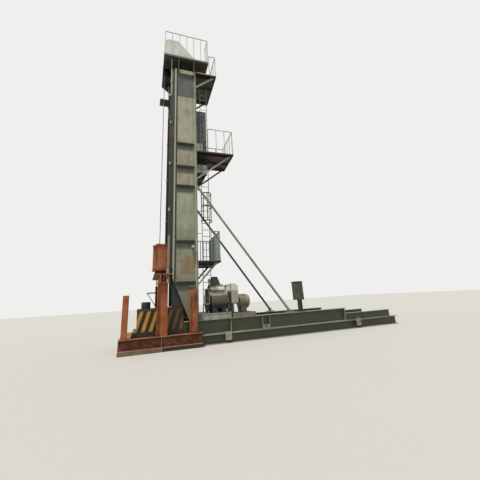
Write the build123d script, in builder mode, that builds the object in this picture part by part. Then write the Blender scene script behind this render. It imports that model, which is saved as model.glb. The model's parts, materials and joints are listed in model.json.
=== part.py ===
from build123d import *
import math
import os

# Belt pumping unit, standing over a load test frame. Millimetres, +Z up.
# The origin is on the ground, on the axis of the well: the load belt hangs along it.
# -X is the well side, +X runs back along the rails, -Y is the side the drive stands on.
os.makedirs("parts", exist_ok=True)

# Rails and skid
RAIL_DEPTH = 350
RAIL_WIDTH = 300
RAIL_FLANGE = 24
RAIL_WEB = 16
RAIL_LENGTH = 10000
SKID_DEPTH = 530
SKID_WIDTH = 300
SKID_FLANGE = 26
SKID_WEB = 16
SKID_FRONT = 880
SKID_LENGTH = 7170
GAUGE_HALF = 900
TAIL_DEPTH = 300
TAIL_WIDTH = 200
TAIL_SHORT = 300
CROSS_DEPTH = 300
CROSS_WIDTH = 160
CROSS_LIFT = 120
CROSS_FLANGE = 14
CLAMP_THICK = 40
CLAMP_LENGTH = 240
STIFFENER = 20
SKID_STIFFENERS = (0.251, 0.435, 0.477, 0.99)
CROSS_SHARES = (0.014, 0.121, 0.282, 0.456, 0.644, 0.826, 0.972)

# Tower
TOWER_FRONT = 460
TOWER_DEEP = 940
TOWER_HALF = 1000
CROWN_LEVEL = 13050
CROWN_GAP = 600
COLUMN_FRONT = 66
COLUMN_REAR = 40
COLUMN_DEEP = 130
PANEL_BACK = 70
PANEL_THICK = 14
LEDGE_TALL = 84
LEDGE_THICK = 16
TOP_LEDGE_TALL = 230
TOP_LEDGE_FRONT = 140
CUT_RISE = 1570
CUT_RUN = 650
CUT_STRIP = 44
FOOT_PLATE_Y = 790
FOOT_PLATE_DROP = 1040
SHEET = 12
REAR_DEEP = 50
REAR_STRIP = 60
PIPE_AHEAD = 170
PIPE_RADIUS = 26
COLLAR_RADIUS = 44
FITTING_RADIUS = 65
FITTING_TALL = 200
WEIGHT_DEEP = 700
BRACE_RADIUS = 48
BRACE_REACH = 3780
BRACE_PLATE_BEHIND = 160
BRACE_PLATE_AHEAD = 240

# Drum, belt and crown
DRUM_RADIUS = 455
DRUM_WIDTH = 600
DRUM_UP = 620
SHAFT_RADIUS = 70
BEARING_SPAN = 450
BEARING_WIDTH = 90
BEARING_FOOT = 330
BEARING_RADIUS = 150
BELT_WIDE = 440
BELT_THICK = 11
BELT_MARGIN = 40
GUIDE_AHEAD = 190
GUIDE_HALF = 248
GUIDE_THICK = 40
GUIDE_SLOT = 28
SEAT = 0.3
DECK_THICK = 100
DECK_AHEAD = 90
DECK_BEHIND = 680
DECK_PROUD = 120
KNEE_TALL = 550
POST_THICK = 20
HOOD_AHEAD = 60
HOOD_LENGTH = 1680
HOOD_HALF = 560
HOOD_TALL = 1575
HOOD_ROUND = 300
HOOD_FLAT = 378
HOOD_REAR_TALL = 462
GUARD_TALL = 1420
NOTCH_HALF = 350

# Platforms, guard rails and ladder
UPPER_REACH = 1020
UPPER_EDGES = (-1080, 1100)
UPPER_STRUTS = (-950, 950)
MIDDLE_REACH = 1700
MIDDLE_EDGES = (-1100, 590)
MIDDLE_STRUTS = (-930, 500)
LOW_REACH = 910
LOW_EDGES = (-1100, 960)
LOW_STRUTS = (-950, 900)
PLATE = 14
PLATFORM_DEEP = 70
JOIST = 10
HATCH_LONG = 490
HATCH_WIDE = 690
HATCH_FAR_Y = -140
LID_LAP = 20
LID_THICK = 8
RAIL_BAR = 21
POST_BAR = 17
POST_STEP = 362
GUARD_SET = 30
GUARD_LOW = 1200
STRUT_TALL = 80
STRUT_THICK = 60
LADDER_WIDE = 340
LADDER_REACH = 350
LADDER_Y = -100
LADDER_RISE = 950
STILE = 16
STILE_DEEP = 60
RUNG_STEP = 300
RUNG_RADIUS = 12
HOOP_RADIUS = 240
HOOP_TALL = 50
HOOP_THICK = 8
HOOPS = (0.33, 0.385, 0.437)
HOUSING_DEEP = 700
HOUSING_Y = 150
HOUSING_WIDE = 290
CHUTE_SET = 20
HOUSING_BANDS = (0.544, 0.69, 0.838)
CHUTE_FOOT = 0.494

# Drive
DRIVE_BASE_LONG = 1320
DRIVE_BASE_TALL = 215
DRIVE_SIDE = 140
DRIVE_Y = -560
DRIVE_RADIUS = 430
DRIVE_UP = 460
DRIVE_LONG = 690
DRIVE_GAP = 480
DRIVE_SHAFT_RADIUS = 55
RING_RADIUS = 450
RING_THICK = 30
NECK_LONG = 70
NECK_RADIUS = 210
LEVER_RADIUS = 14
LEVER_TALL = 895
COVER_TALL = 235
COVER_WIDE = 800
COVER_LONG = 570
BOX_TALL = 310
BOX_WIDE = 300
COUPLING_WIDE = 600
GUARD_LONG = 280
GUARD_WIDE = 780
GUARD_UP = 340
GUARD_BODY = 780
GUARD_ROUND = 170
GUARD_LEG = 70
MOTOR_RADIUS = 290
MOTOR_LONG = 470
MOTOR_UP = 415
MOTOR_NECK = 100
MOTOR_BASE_TALL = 160
MOTOR_BASE_LONG = 940
MOTOR_BASE_WIDE = 880
BASE_WALL = 90

# Control cabinet
CABINET_AT = 4270
CABINET_LONG = 340
CABINET_DEEP = 350
CABINET_TALL = 750
CABINET_UP = 480
CABINET_POST = 150

# Load test frame
FRAME_AHEAD = 1280
FRAME_LONG = 2800
FRAME_HALF = 1230
FRAME_LIFT = 120
FRAME_DEPTH = 370
FRAME_WIDTH = 200
FRAME_FLANGE = 20
FRAME_WEB = 12
FRONT_POST_TALL = 1400
BACK_POST_TALL = 1500
SLEEPER_LONG = 1430
PACKING_WIDTH = 150
FRONT_POST_WIDE = 190
BACK_POST_WIDE = 270
CENTRE_X = 100
CENTRE_DEPTH = 360
CENTRE_WIDTH = 210
CENTRE_TALL = 1760
CAP = 25
HEAD_TALL = 295
HEAD_PLATE = 30
HEAD_PLATE_WIDE = 640
HEAD_WEB = 16
HEAD_WEB_GAP = 210
ROD_RADIUS = 15
BOX_GAP = 12
BOX_LONG = 1611
BOX_HALF = 900
BOX_BODY = 690
BOX_LID = 70
LID_PROUD = 10
TRAY_TALL = 190
HANG_TALL = 1070
HANG_DEPTH = 560
HANG_FLANGE = 520
HANG_THICK = 24
HANG_PLATE = 20
HANG_TURN = 18
HANG_X = 80
LINK_TALL = 230
LINK_WIDE = 480
LINK_Y = 200

rail_top = RAIL_DEPTH
skid_top = rail_top + SKID_DEPTH
skid_end = SKID_FRONT + SKID_LENGTH
rail_front = SKID_FRONT + STIFFENER
rail_end = rail_front + RAIL_LENGTH
tower_rear = TOWER_FRONT + TOWER_DEEP
rear_face = tower_rear + REAR_DEEP
tower_top = CROWN_LEVEL - CROWN_GAP
deck_top = CROWN_LEVEL + DECK_THICK
base_top = skid_top + DRIVE_BASE_TALL
column_in = TOWER_HALF - COLUMN_DEEP
strip_out = TOWER_HALF - CLAMP_THICK / 2


def level(share):
    """A height on the tower, as a share of the way from the skid up to the crown deck."""
    return skid_top + share * (CROWN_LEVEL - skid_top)


SIDES = ((-1, "near"), (1, "far"))
LEDGES = (0.116, 0.248, 0.445, 0.521, 0.614)
UPPER_TOP = level(0.9466)
MIDDLE_TOP = level(0.585)
LOW_TOP = level(0.1812)


def block(low, high):
    """A plain rectangular solid between two opposite corners."""
    size = [b - a for a, b in zip(low, high)]
    centre = [(a + b) / 2 for a, b in zip(low, high)]
    with Locations(tuple(centre)):
        Box(*size)


def sided(x0, x1, side, y_in, y_out, z0, z1):
    """A block on one side of the unit, given by its distances from the middle plane."""
    block((x0, min(side * y_in, side * y_out), z0), (x1, max(side * y_in, side * y_out), z1))


def i_section(plane, centre, depth, width, flange, web):
    """An I section on a plane, its depth along the plane's second direction."""
    with BuildSketch(plane) as section:
        with Locations(centre):
            Rectangle(web, depth)
        up = (depth - flange) / 2
        with Locations((centre[0], centre[1] + up), (centre[0], centre[1] - up)):
            Rectangle(width, flange)
    return section.sketch


def beam_along_x(x0, x1, y, bottom, depth, width, flange, web):
    """An I beam that runs along X."""
    extrude(i_section(Plane.YZ.offset(x0), (y, bottom + depth / 2), depth, width, flange, web),
            amount=x1 - x0)


def beam_along_y(y0, y1, x, bottom, depth, width, flange, web):
    """An I beam that runs along Y."""
    extrude(i_section(Plane.XZ.offset(-y1), (x, bottom + depth / 2), depth, width, flange, web),
            amount=y1 - y0)


def round_bar(start, end, radius):
    """A straight round bar between two points."""
    run = Vector(*end) - Vector(*start)
    with BuildSketch(Plane(origin=start, z_dir=run)) as section:
        Circle(radius)
    extrude(section.sketch, amount=run.length)


def outline(plane, points):
    """A closed flat outline on a plane."""
    with BuildSketch(plane) as shape:
        with BuildLine():
            Polyline(*points, close=True)
        make_face()
    return shape.sketch


def plate_xz(points, y0, y1):
    """A plate whose outline is given in X and Z, from y0 to y1."""
    extrude(outline(Plane.XZ.offset(-max(y0, y1)), points), amount=abs(y1 - y0))


def turned(profile, y, z):
    """A round body about an axis along X: the profile gives X and the distance from the axis."""
    with BuildSketch(Plane.XZ.offset(-y)) as shape:
        with BuildLine():
            Polyline(*[(x, z + r) for x, r in profile], close=True)
        make_face()
    revolve(shape.sketch, axis=Axis((0, y, z), (1, 0, 0)))


def finish(part, name):
    """Label a finished piece and write it to its own file."""
    part.label = name
    export_step(part, "parts/" + name + ".step")
    print(name, round(part.volume / 1e6, 2), "litres")


# Rails: two I beams on the ground
for side, label in SIDES:
    with BuildPart() as rail:
        beam_along_x(rail_front, rail_end, side * GAUGE_HALF, 0, RAIL_DEPTH, RAIL_WIDTH, RAIL_FLANGE,
                     RAIL_WEB)
    finish(rail.part, "rail_" + label)

# Skid beams with their web stiffeners and a lifting eye on each side
stiff_low = rail_top + SKID_FLANGE
stiff_high = skid_top - SKID_FLANGE
reach = SKID_WIDTH / 2 - STIFFENER
eye_tall = SKID_DEPTH * 0.28
for side, label in SIDES:
    with BuildPart() as skid:
        beam_along_x(SKID_FRONT, skid_end, side * GAUGE_HALF, rail_top, SKID_DEPTH, SKID_WIDTH, SKID_FLANGE,
                     SKID_WEB)
        stiff_xs = [SKID_FRONT + share * SKID_LENGTH for share in SKID_STIFFENERS]
        for x in stiff_xs:
            sided(x - STIFFENER / 2, x + STIFFENER / 2, side, GAUGE_HALF - reach, GAUGE_HALF + reach,
                  stiff_low, stiff_high)
        x0, x1 = stiff_xs[1:3]
        sided(x0, x1, side, GAUGE_HALF + reach - STIFFENER, GAUGE_HALF + reach, stiff_low,
              stiff_low + eye_tall)
        with Locations(((x0 + x1) / 2, side * (GAUGE_HALF + reach), stiff_low + eye_tall / 2)):
            Cylinder(eye_tall / 4, 4 * STIFFENER, rotation=(90, 0, 0), mode=Mode.SUBTRACT)
    finish(skid.part, "skid_beam_" + label)

# Tail beams behind the skid, on the same rails
for side, label in SIDES:
    with BuildPart() as tail:
        beam_along_x(skid_end, rail_end - TAIL_SHORT, side * GAUGE_HALF, rail_top, TAIL_DEPTH, TAIL_WIDTH,
                     CROSS_FLANGE, SHEET)
    finish(tail.part, "tail_beam_" + label)

# Cross members between the two skid beams, and the deck plates on them
cross_top = rail_top + CROSS_LIFT + CROSS_DEPTH
gap = GAUGE_HALF - SKID_WEB / 2
with BuildPart() as cross_members:
    for share in CROSS_SHARES:
        beam_along_y(-gap, gap, SKID_FRONT + share * SKID_LENGTH, rail_top + CROSS_LIFT, CROSS_DEPTH,
                     CROSS_WIDTH,
                     CROSS_FLANGE, SHEET)
finish(cross_members.part, "skid_cross_members")

with BuildPart() as deck_plates:
    for a, b in zip(CROSS_SHARES[2:], CROSS_SHARES[3:]):
        x0 = SKID_FRONT + a * SKID_LENGTH - CLAMP_THICK
        x1 = SKID_FRONT + b * SKID_LENGTH - CLAMP_THICK - STIFFENER
        block((x0, -gap + CROSS_WIDTH, cross_top), (x1, gap - CROSS_WIDTH, cross_top + SHEET))
finish(deck_plates.part, "skid_deck_plates")

# Rail clamps: hooks on the skid and tail flanges that grip the rail's flange
with BuildPart() as clamps:
    for side in (-1, 1):
        face = GAUGE_HALF + RAIL_WIDTH / 2
        for share, wing in ((0.216, SKID_WIDTH), (1.061, TAIL_WIDTH)):
            x0 = SKID_FRONT + share * SKID_LENGTH
            sided(x0, x0 + CLAMP_LENGTH, side, face, face + CLAMP_THICK, RAIL_DEPTH * 0.32,
                  rail_top + 3 * STIFFENER)
            if GAUGE_HALF + wing / 2 < face:
                sided(x0, x0 + CLAMP_LENGTH, side, GAUGE_HALF + wing / 2, face, rail_top,
                      rail_top + STIFFENER)
finish(clamps.part, "rail_clamps")


# Tower side walls: a panel set back between two corner columns, with ledges across it
def side_wall(side):
    panel_out = TOWER_HALF - PANEL_BACK
    x_in = TOWER_FRONT + COLUMN_FRONT
    x_out = tower_rear - COLUMN_REAR
    cut_top = skid_top + CUT_RISE
    foot_x = TOWER_FRONT + CUT_RUN
    slope = CUT_RISE / CUT_RUN
    plate_xz([(x_in, cut_top), (x_in, tower_top), (x_out, tower_top), (x_out, skid_top),
              (foot_x + CUT_STRIP / 2, skid_top), (x_in, cut_top - (COLUMN_FRONT - CUT_STRIP / 2) * slope)],
             side * panel_out, side * (panel_out - PANEL_THICK))
    sided(TOWER_FRONT, x_in, side, column_in, TOWER_HALF, cut_top, tower_top)
    sided(x_out, tower_rear, side, column_in, TOWER_HALF, skid_top, tower_top)
    plate_xz([(TOWER_FRONT, cut_top), (TOWER_FRONT + CUT_STRIP, cut_top), (foot_x + CUT_STRIP, skid_top),
              (foot_x, skid_top)], side * column_in, side * TOWER_HALF)
    for share in LEDGES:
        z = level(share)
        start = x_in if z > cut_top else TOWER_FRONT + (cut_top - z) / slope + CUT_STRIP / 2
        sided(start, x_out, side, panel_out, TOWER_HALF, z, z + LEDGE_THICK)
        sided(start, x_out, side, TOWER_HALF - LEDGE_THICK, TOWER_HALF, z, z + LEDGE_TALL)
    start = TOWER_FRONT + TOP_LEDGE_FRONT
    sided(x_in, x_out, side, panel_out - PANEL_THICK, TOWER_HALF - LEDGE_THICK, tower_top - LEDGE_THICK,
          tower_top)
    sided(start, x_out, side, panel_out, TOWER_HALF, tower_top - TOP_LEDGE_TALL, tower_top)


for side, label in SIDES:
    with BuildPart() as wall:
        side_wall(side)
    finish(wall.part, "tower_side_" + label)

# Foot plates: set back behind the cut corner, with a sheet that closes it along the cut
with BuildPart() as foot_plates:
    cut_top = skid_top + CUT_RISE
    plate_foot_x = TOWER_FRONT + FOOT_PLATE_DROP * CUT_RUN / CUT_RISE
    for side in (-1, 1):
        plate_xz([(TOWER_FRONT, cut_top), (TOWER_FRONT, cut_top - FOOT_PLATE_DROP),
                  (plate_foot_x, cut_top - FOOT_PLATE_DROP)],
                 side * FOOT_PLATE_Y, side * (FOOT_PLATE_Y - SHEET))
        plate_xz([(TOWER_FRONT, cut_top), (TOWER_FRONT + SHEET, cut_top),
                  (TOWER_FRONT + CUT_RUN + SHEET, skid_top),
                  (TOWER_FRONT + CUT_RUN, skid_top)], side * (FOOT_PLATE_Y - SHEET), side * column_in)
finish(foot_plates.part, "tower_foot_plates")

# Platforms by name: top, reach from the rear face, near and far edges, strut foot, strut places
PLATFORMS = {
    "upper": (UPPER_TOP, UPPER_REACH, *UPPER_EDGES, level(0.8767), UPPER_STRUTS),
    "middle": (MIDDLE_TOP, MIDDLE_REACH, *MIDDLE_EDGES, level(0.474), MIDDLE_STRUTS),
    "low": (LOW_TOP, LOW_REACH, *LOW_EDGES, level(0.104), LOW_STRUTS),
}
BRACE_HEAD = level(0.44)
BRACKETS = (0.145, 0.29, 0.375, 0.5, 0.7, 0.8)

# Tower rear wall: a sheet with edge strips, and ribs where other pieces are fixed to it
with BuildPart() as rear_wall:
    block((tower_rear, -strip_out, base_top), (tower_rear + SHEET, strip_out, tower_top))
    for side in (-1, 1):
        sided(tower_rear, rear_face, side, strip_out - REAR_STRIP, strip_out, base_top, tower_top)
    heights = [(level(share) - STRUT_TALL / 2, STRUT_TALL) for share in BRACKETS]
    heights += [(top - PLATFORM_DEEP, PLATFORM_DEEP) for top, *rest in PLATFORMS.values()]
    heights += [(foot, STRUT_TALL) for top, reach, y0, y1, foot, places in PLATFORMS.values()]
    heights += [(level(share), LEDGE_TALL) for share in HOUSING_BANDS]
    for z, tall in heights:
        block((tower_rear, -strip_out, z), (rear_face, strip_out, z + tall))
finish(rear_wall.part, "tower_rear_wall")

# Front ties: channels across the open front, the lowest one above the cut corner
with BuildPart() as front_ties:
    tie_tall = LEDGE_TALL * 1.4
    for z in [level(share) for share in LEDGES[1:] + (0.72,)] + [tower_top - tie_tall]:
        block((TOWER_FRONT, -column_in, z), (TOWER_FRONT + COLUMN_FRONT, column_in, z + tie_tall))
finish(front_ties.part, "tower_front_ties")

# Front guide pipes with their collars, foot fittings and the web plates that carry them
pipe_x = TOWER_FRONT - PIPE_AHEAD
pipe_foot = level(0.143)
with BuildPart() as guides:
    for side in (-1, 1):
        y = side * (TOWER_HALF - PANEL_BACK)
        round_bar((pipe_x, y, pipe_foot), (pipe_x, y, CROWN_LEVEL), PIPE_RADIUS)
        round_bar((pipe_x, y, pipe_foot), (pipe_x, y, pipe_foot + FITTING_TALL), FITTING_RADIUS)
        block((pipe_x, y - SHEET / 2, pipe_foot + FITTING_TALL), (TOWER_FRONT, y + SHEET / 2, tower_top))
        for share in (0.15, 0.355, 0.5275, 0.698, 0.889):
            z = level(share)
            round_bar((pipe_x, y, z - FITTING_RADIUS), (pipe_x, y, z + FITTING_RADIUS), COLLAR_RADIUS)
            block((pipe_x, y - SHEET, z - STIFFENER), (TOWER_FRONT, y + SHEET, z + STIFFENER))
finish(guides.part, "front_guide_pipes")

# Crown deck on ribs and cross beams over the tower, with the slot that the belt runs through
drum_x = DRUM_RADIUS + SEAT + BELT_THICK / 2
drum_z = deck_top + DRUM_UP
deck_front = -DECK_AHEAD
deck_rear = tower_rear + DECK_BEHIND
deck_half = TOWER_HALF + DECK_PROUD
slot_front = -BELT_MARGIN
slot_rear = 2 * drum_x + BELT_MARGIN
hatch_x0 = rear_face + 2 * LADDER_REACH / 3
hatch_x1 = hatch_x0 + HATCH_LONG
hatch_y0 = HATCH_FAR_Y - HATCH_WIDE
notch_y0 = LADDER_Y - NOTCH_HALF
notch_y1 = LADDER_Y + NOTCH_HALF
post_xs = (TOWER_FRONT + TOP_LEDGE_FRONT, tower_rear - COLUMN_REAR - POST_THICK)
with BuildPart() as crown_deck:
    block((deck_front, -deck_half, CROWN_LEVEL), (deck_rear, deck_half, deck_top))
    for x in post_xs:
        beam_along_y(-deck_half + POST_THICK, deck_half - POST_THICK, x + POST_THICK / 2,
                     CROWN_LEVEL - CROSS_WIDTH,
                     CROSS_WIDTH, CROSS_WIDTH / 2, CROSS_FLANGE, SHEET)
    for side in (-1, 1):
        for x, drop in zip(post_xs, (TOP_LEDGE_TALL, 1.6 * TOP_LEDGE_TALL)):
            sided(x, x + POST_THICK, side, TOWER_HALF, deck_half - POST_THICK, tower_top - drop, CROWN_LEVEL)
    plate_xz([(deck_front + POST_THICK, CROWN_LEVEL), (TOWER_FRONT + COLUMN_FRONT, CROWN_LEVEL),
              (TOWER_FRONT + COLUMN_FRONT, tower_top - TOP_LEDGE_TALL),
              (TOWER_FRONT, CROWN_LEVEL - KNEE_TALL),
              (deck_front + POST_THICK, CROWN_LEVEL - DECK_THICK)], TOWER_HALF, TOWER_HALF + POST_THICK)
    with Locations(((slot_front + slot_rear) / 2, 0, deck_top)):
        Box(slot_rear - slot_front, BELT_WIDE + 2 * BELT_MARGIN, 3 * DECK_THICK + CROSS_WIDTH,
            mode=Mode.SUBTRACT)
    with Locations(((hatch_x0 + deck_rear + DECK_THICK) / 2, (notch_y0 + notch_y1) / 2, deck_top)):
        Box(deck_rear + DECK_THICK - hatch_x0, notch_y1 - notch_y0, 3 * DECK_THICK, mode=Mode.SUBTRACT)
finish(crown_deck.part, "crown_deck")

# Crown drum on its shaft, and the bearing pedestals
rim = DRUM_RADIUS * 0.82
half = DRUM_WIDTH / 2
with BuildPart() as drum:
    with BuildSketch(Plane.XZ.offset(-half)) as rim_disc:
        with Locations((drum_x, drum_z)):
            Circle(DRUM_RADIUS)
    extrude(rim_disc.sketch, amount=DRUM_WIDTH)
    for y in (-half, half - DRUM_WIDTH / 4):
        with BuildSketch(Plane.XZ.offset(-y - DRUM_WIDTH / 4)) as hollow:
            with Locations((drum_x, drum_z)):
                Circle(rim)
        extrude(hollow.sketch, amount=DRUM_WIDTH / 4, mode=Mode.SUBTRACT)
    span = BEARING_SPAN + BEARING_WIDTH
    round_bar((drum_x, -span, drum_z), (drum_x, span, drum_z), SHAFT_RADIUS)
finish(drum.part, "crown_drum")

with BuildPart() as bearings:
    for side in (-1, 1):
        y0 = side * BEARING_SPAN - BEARING_WIDTH / 2
        with BuildSketch(Plane.XZ.offset(-(y0 + BEARING_WIDTH))) as pedestal:
            with BuildLine():
                Polyline((drum_x - BEARING_FOOT, deck_top), (drum_x + BEARING_FOOT, deck_top),
                         (drum_x + BEARING_RADIUS, drum_z), (drum_x - BEARING_RADIUS, drum_z), close=True)
            make_face()
            with Locations((drum_x, drum_z)):
                Circle(BEARING_RADIUS)
                Circle(SHAFT_RADIUS + SEAT, mode=Mode.SUBTRACT)
        extrude(pedestal.sketch, amount=BEARING_WIDTH)
finish(bearings.part, "crown_bearings")

# Belt: from the hanging block, over the drum, down inside the tower to the counterweight box
hang_top = FRAME_LIFT + FRAME_DEPTH + CENTRE_TALL + CAP + HEAD_TALL + HEAD_PLATE + LINK_TALL + HANG_TALL
weight_top = level(0.495)
belt_in = DRUM_RADIUS + SEAT
belt_out = belt_in + BELT_THICK
with BuildPart() as belt:
    with BuildSketch(Plane.XZ.offset(-BELT_WIDE / 2)) as belt_line:
        with Locations((drum_x, drum_z)):
            Circle(belt_out)
            Circle(belt_in, mode=Mode.SUBTRACT)
        with Locations((drum_x, drum_z - DRUM_RADIUS)):
            Rectangle(4 * DRUM_RADIUS, 2 * DRUM_RADIUS, mode=Mode.SUBTRACT)
        with Locations((drum_x - (belt_in + belt_out) / 2, (drum_z + hang_top) / 2)):
            Rectangle(BELT_THICK, drum_z - hang_top)
        with Locations((drum_x + (belt_in + belt_out) / 2, (drum_z + weight_top) / 2)):
            Rectangle(BELT_THICK, drum_z - weight_top)
    extrude(belt_line.sketch, amount=BELT_WIDE)
finish(belt.part, "load_belt")

# Counterweight box that the belt carries inside the tower
weight_half = FOOT_PLATE_Y - SHEET
with BuildPart() as weight:
    block((2 * drum_x - WEIGHT_DEEP / 2, -weight_half, level(0.281)),
          (2 * drum_x + WEIGHT_DEEP / 2, weight_half, weight_top))
finish(weight.part, "counterweight_box")

# Belt guide: a flat frame round the belt that stands out of the tower's front
guide_z = level(0.841)
with BuildPart() as belt_guide:
    block((-GUIDE_AHEAD, -GUIDE_HALF, guide_z), (TOWER_FRONT, GUIDE_HALF, guide_z + GUIDE_THICK))
    block((TOWER_FRONT, -column_in, guide_z), (TOWER_FRONT + COLUMN_FRONT, column_in, guide_z + GUIDE_THICK))
    with Locations((0, 0, guide_z)):
        Box(GUIDE_SLOT, BELT_WIDE + BELT_MARGIN / 2, 4 * GUIDE_THICK, mode=Mode.SUBTRACT)
finish(belt_guide.part, "belt_guide_frame")


# Crown hood: rounded sheet shell over the drum, open below
def hood_section(plane):
    """The hood's outline in X and Z: round at the front, flat on top, a straight slope behind."""
    front = -HOOD_AHEAD
    top = deck_top + HOOD_TALL
    rear = front + HOOD_LENGTH
    corner = (front + HOOD_ROUND, top - HOOD_ROUND)
    turn = HOOD_ROUND * math.sqrt(0.5)
    with BuildSketch(plane) as section:
        with BuildLine():
            Polyline((corner[0], top), (corner[0] + HOOD_FLAT, top), (rear, deck_top + HOOD_REAR_TALL),
                     (rear, deck_top), (front, deck_top), (front, corner[1]))
            ThreePointArc((front, corner[1]), (corner[0] - turn, corner[1] + turn), (corner[0], top))
        make_face()
    return section.sketch


with BuildPart() as hood:
    extrude(hood_section(Plane.XZ.offset(-HOOD_HALF)), amount=2 * HOOD_HALF)
    with BuildSketch(Plane.XZ.offset(-HOOD_HALF + SHEET)) as inside:
        add(offset(hood_section(Plane.XZ.offset(-HOOD_HALF + SHEET)), amount=-SHEET))
        with Locations((HOOD_LENGTH / 2 - HOOD_AHEAD, deck_top)):
            Rectangle(HOOD_LENGTH - 2 * SHEET, 3 * SHEET)
    extrude(inside.sketch, amount=2 * (HOOD_HALF - SHEET), mode=Mode.SUBTRACT)
finish(hood.part, "crown_hood")


# Guard rails: flat panels of posts of few sides under one top rail
def guard_panel(start, end, bottom, high, step):
    """Posts between two points on a platform, with a top rail; the ends carry a post each."""
    length = math.hypot(end[0] - start[0], end[1] - start[1])
    count = max(1, round(length / step))
    spots = [(start[0] + (end[0] - start[0]) * i / count, start[1] + (end[1] - start[1]) * i / count)
             for i in range(count + 1)]
    with BuildSketch(Plane.XY.offset(bottom)) as posts:
        with Locations(*spots):
            RegularPolygon(POST_BAR, 8)
    extrude(posts.sketch, amount=high)
    with BuildSketch(Plane(origin=(start[0], start[1], bottom + high),
                           z_dir=(end[0] - start[0], end[1] - start[1], 0))) as bar:
        RegularPolygon(RAIL_BAR, 8)
    extrude(bar.sketch, amount=length)


corner_gap = 2 * RAIL_BAR
side_y = deck_half - GUARD_SET
back_x = deck_rear - GUARD_SET
with BuildPart() as crown_rail:
    for side in (-1, 1):
        guard_panel((deck_front + GUARD_SET, side * side_y), (back_x, side * side_y), deck_top, GUARD_TALL,
                    POST_STEP)
    guard_panel((back_x, -side_y + corner_gap), (back_x, notch_y0 - GUARD_SET), deck_top, GUARD_TALL,
                POST_STEP)
    guard_panel((back_x, notch_y1 + GUARD_SET), (back_x, side_y - corner_gap), deck_top, GUARD_TALL,
                POST_STEP)
finish(crown_rail.part, "crown_railing")

# Rear platforms: a plate on edge members and joists, with a shut hatch lid in front of the ladder
housing_x1 = rear_face + HOUSING_DEEP
for label, (top, reach, y0, y1, foot, places) in PLATFORMS.items():
    x1 = rear_face + reach
    low = top - PLATFORM_DEEP
    with BuildPart() as deck:
        block((rear_face, y0, top - PLATE), (x1, y1, top))
        for ya, yb in ((y0, y0 + PLATE), (y1 - PLATE, y1)):
            block((rear_face, ya, low), (x1, yb, top))
        block((x1 - PLATE, y0, low), (x1, y1, top))
        block((rear_face, y0, low), (rear_face + PLATE, y1, top))
        for y in (places[0], hatch_y0 - JOIST, HATCH_FAR_Y, LADDER_Y, places[1]):
            block((rear_face, y, low), (x1, y + JOIST, top))
        with Locations(((hatch_x0 + hatch_x1) / 2, (hatch_y0 + HATCH_FAR_Y) / 2, top)):
            Box(HATCH_LONG, HATCH_WIDE, 4 * PLATFORM_DEEP, mode=Mode.SUBTRACT)
        block((hatch_x0 - LID_LAP, hatch_y0 - LID_LAP, top),
              (hatch_x1 + LID_LAP, HATCH_FAR_Y + LID_LAP / 2, top + LID_THICK))
        if label == "middle":
            block_x = (rear_face + housing_x1) / 2
            with Locations((block_x, HOUSING_Y + HOUSING_WIDE / 2, top)):
                Box(HOUSING_DEEP, HOUSING_WIDE, 4 * PLATFORM_DEEP, mode=Mode.SUBTRACT)
    finish(deck.part, label + "_platform")

# Platform struts: sloping bars from under each platform to the tower's back
for label, (top, reach, y0, y1, foot, places) in PLATFORMS.items():
    under = top - PLATFORM_DEEP
    out = rear_face + reach - 1.2 * STRUT_TALL
    with BuildPart() as struts:
        for y in places:
            mid = y + JOIST / 2
            plate_xz([(out, under), (out - 1.4 * STRUT_TALL, under), (rear_face, foot + STRUT_TALL),
                      (rear_face, foot)],
                     mid - STRUT_THICK / 2, mid + STRUT_THICK / 2)
    finish(struts.part, label + "_platform_struts")

NEAR_STARTS = {"upper": deck_rear + corner_gap, "middle": hatch_x0 + 0.55 * HATCH_LONG,
               "low": hatch_x0 + 0.6 * HATCH_LONG}
FAR_STARTS = {"upper": deck_rear + corner_gap, "middle": rear_face + GUARD_SET, "low": rear_face + GUARD_SET}
STEPS = {"upper": 1.2, "middle": 1.2, "low": 0.42}
for label, (top, reach, y0, y1, foot, places) in PLATFORMS.items():
    far_x = rear_face + reach - GUARD_SET
    near_y, far_y = y0 + GUARD_SET, y1 - GUARD_SET
    step = STEPS[label] * POST_STEP
    with BuildPart() as guard:
        guard_panel((NEAR_STARTS[label], near_y), (far_x, near_y), top, GUARD_LOW, step)
        guard_panel((far_x, near_y + corner_gap), (far_x, far_y - corner_gap), top, GUARD_LOW, step)
        guard_panel((FAR_STARTS[label], far_y), (far_x, far_y), top, GUARD_LOW, step)
    finish(guard.part, label + "_platform_railing")

# Rear housing on the tower's back, with a narrower chute under it
housing_low = level(HOUSING_BANDS[0])
chute_low = level(CHUTE_FOOT)
with BuildPart() as housing:
    block((rear_face, HOUSING_Y, housing_low),
          (housing_x1, HOUSING_Y + HOUSING_WIDE, level(HOUSING_BANDS[-1])))
    plate_xz([(rear_face, housing_low), (housing_x1, housing_low),
              (rear_face + 0.54 * HOUSING_DEEP, chute_low),
              (rear_face, chute_low)], HOUSING_Y + CHUTE_SET, HOUSING_Y + HOUSING_WIDE - CHUTE_SET)
finish(housing.part, "rear_housing")

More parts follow.
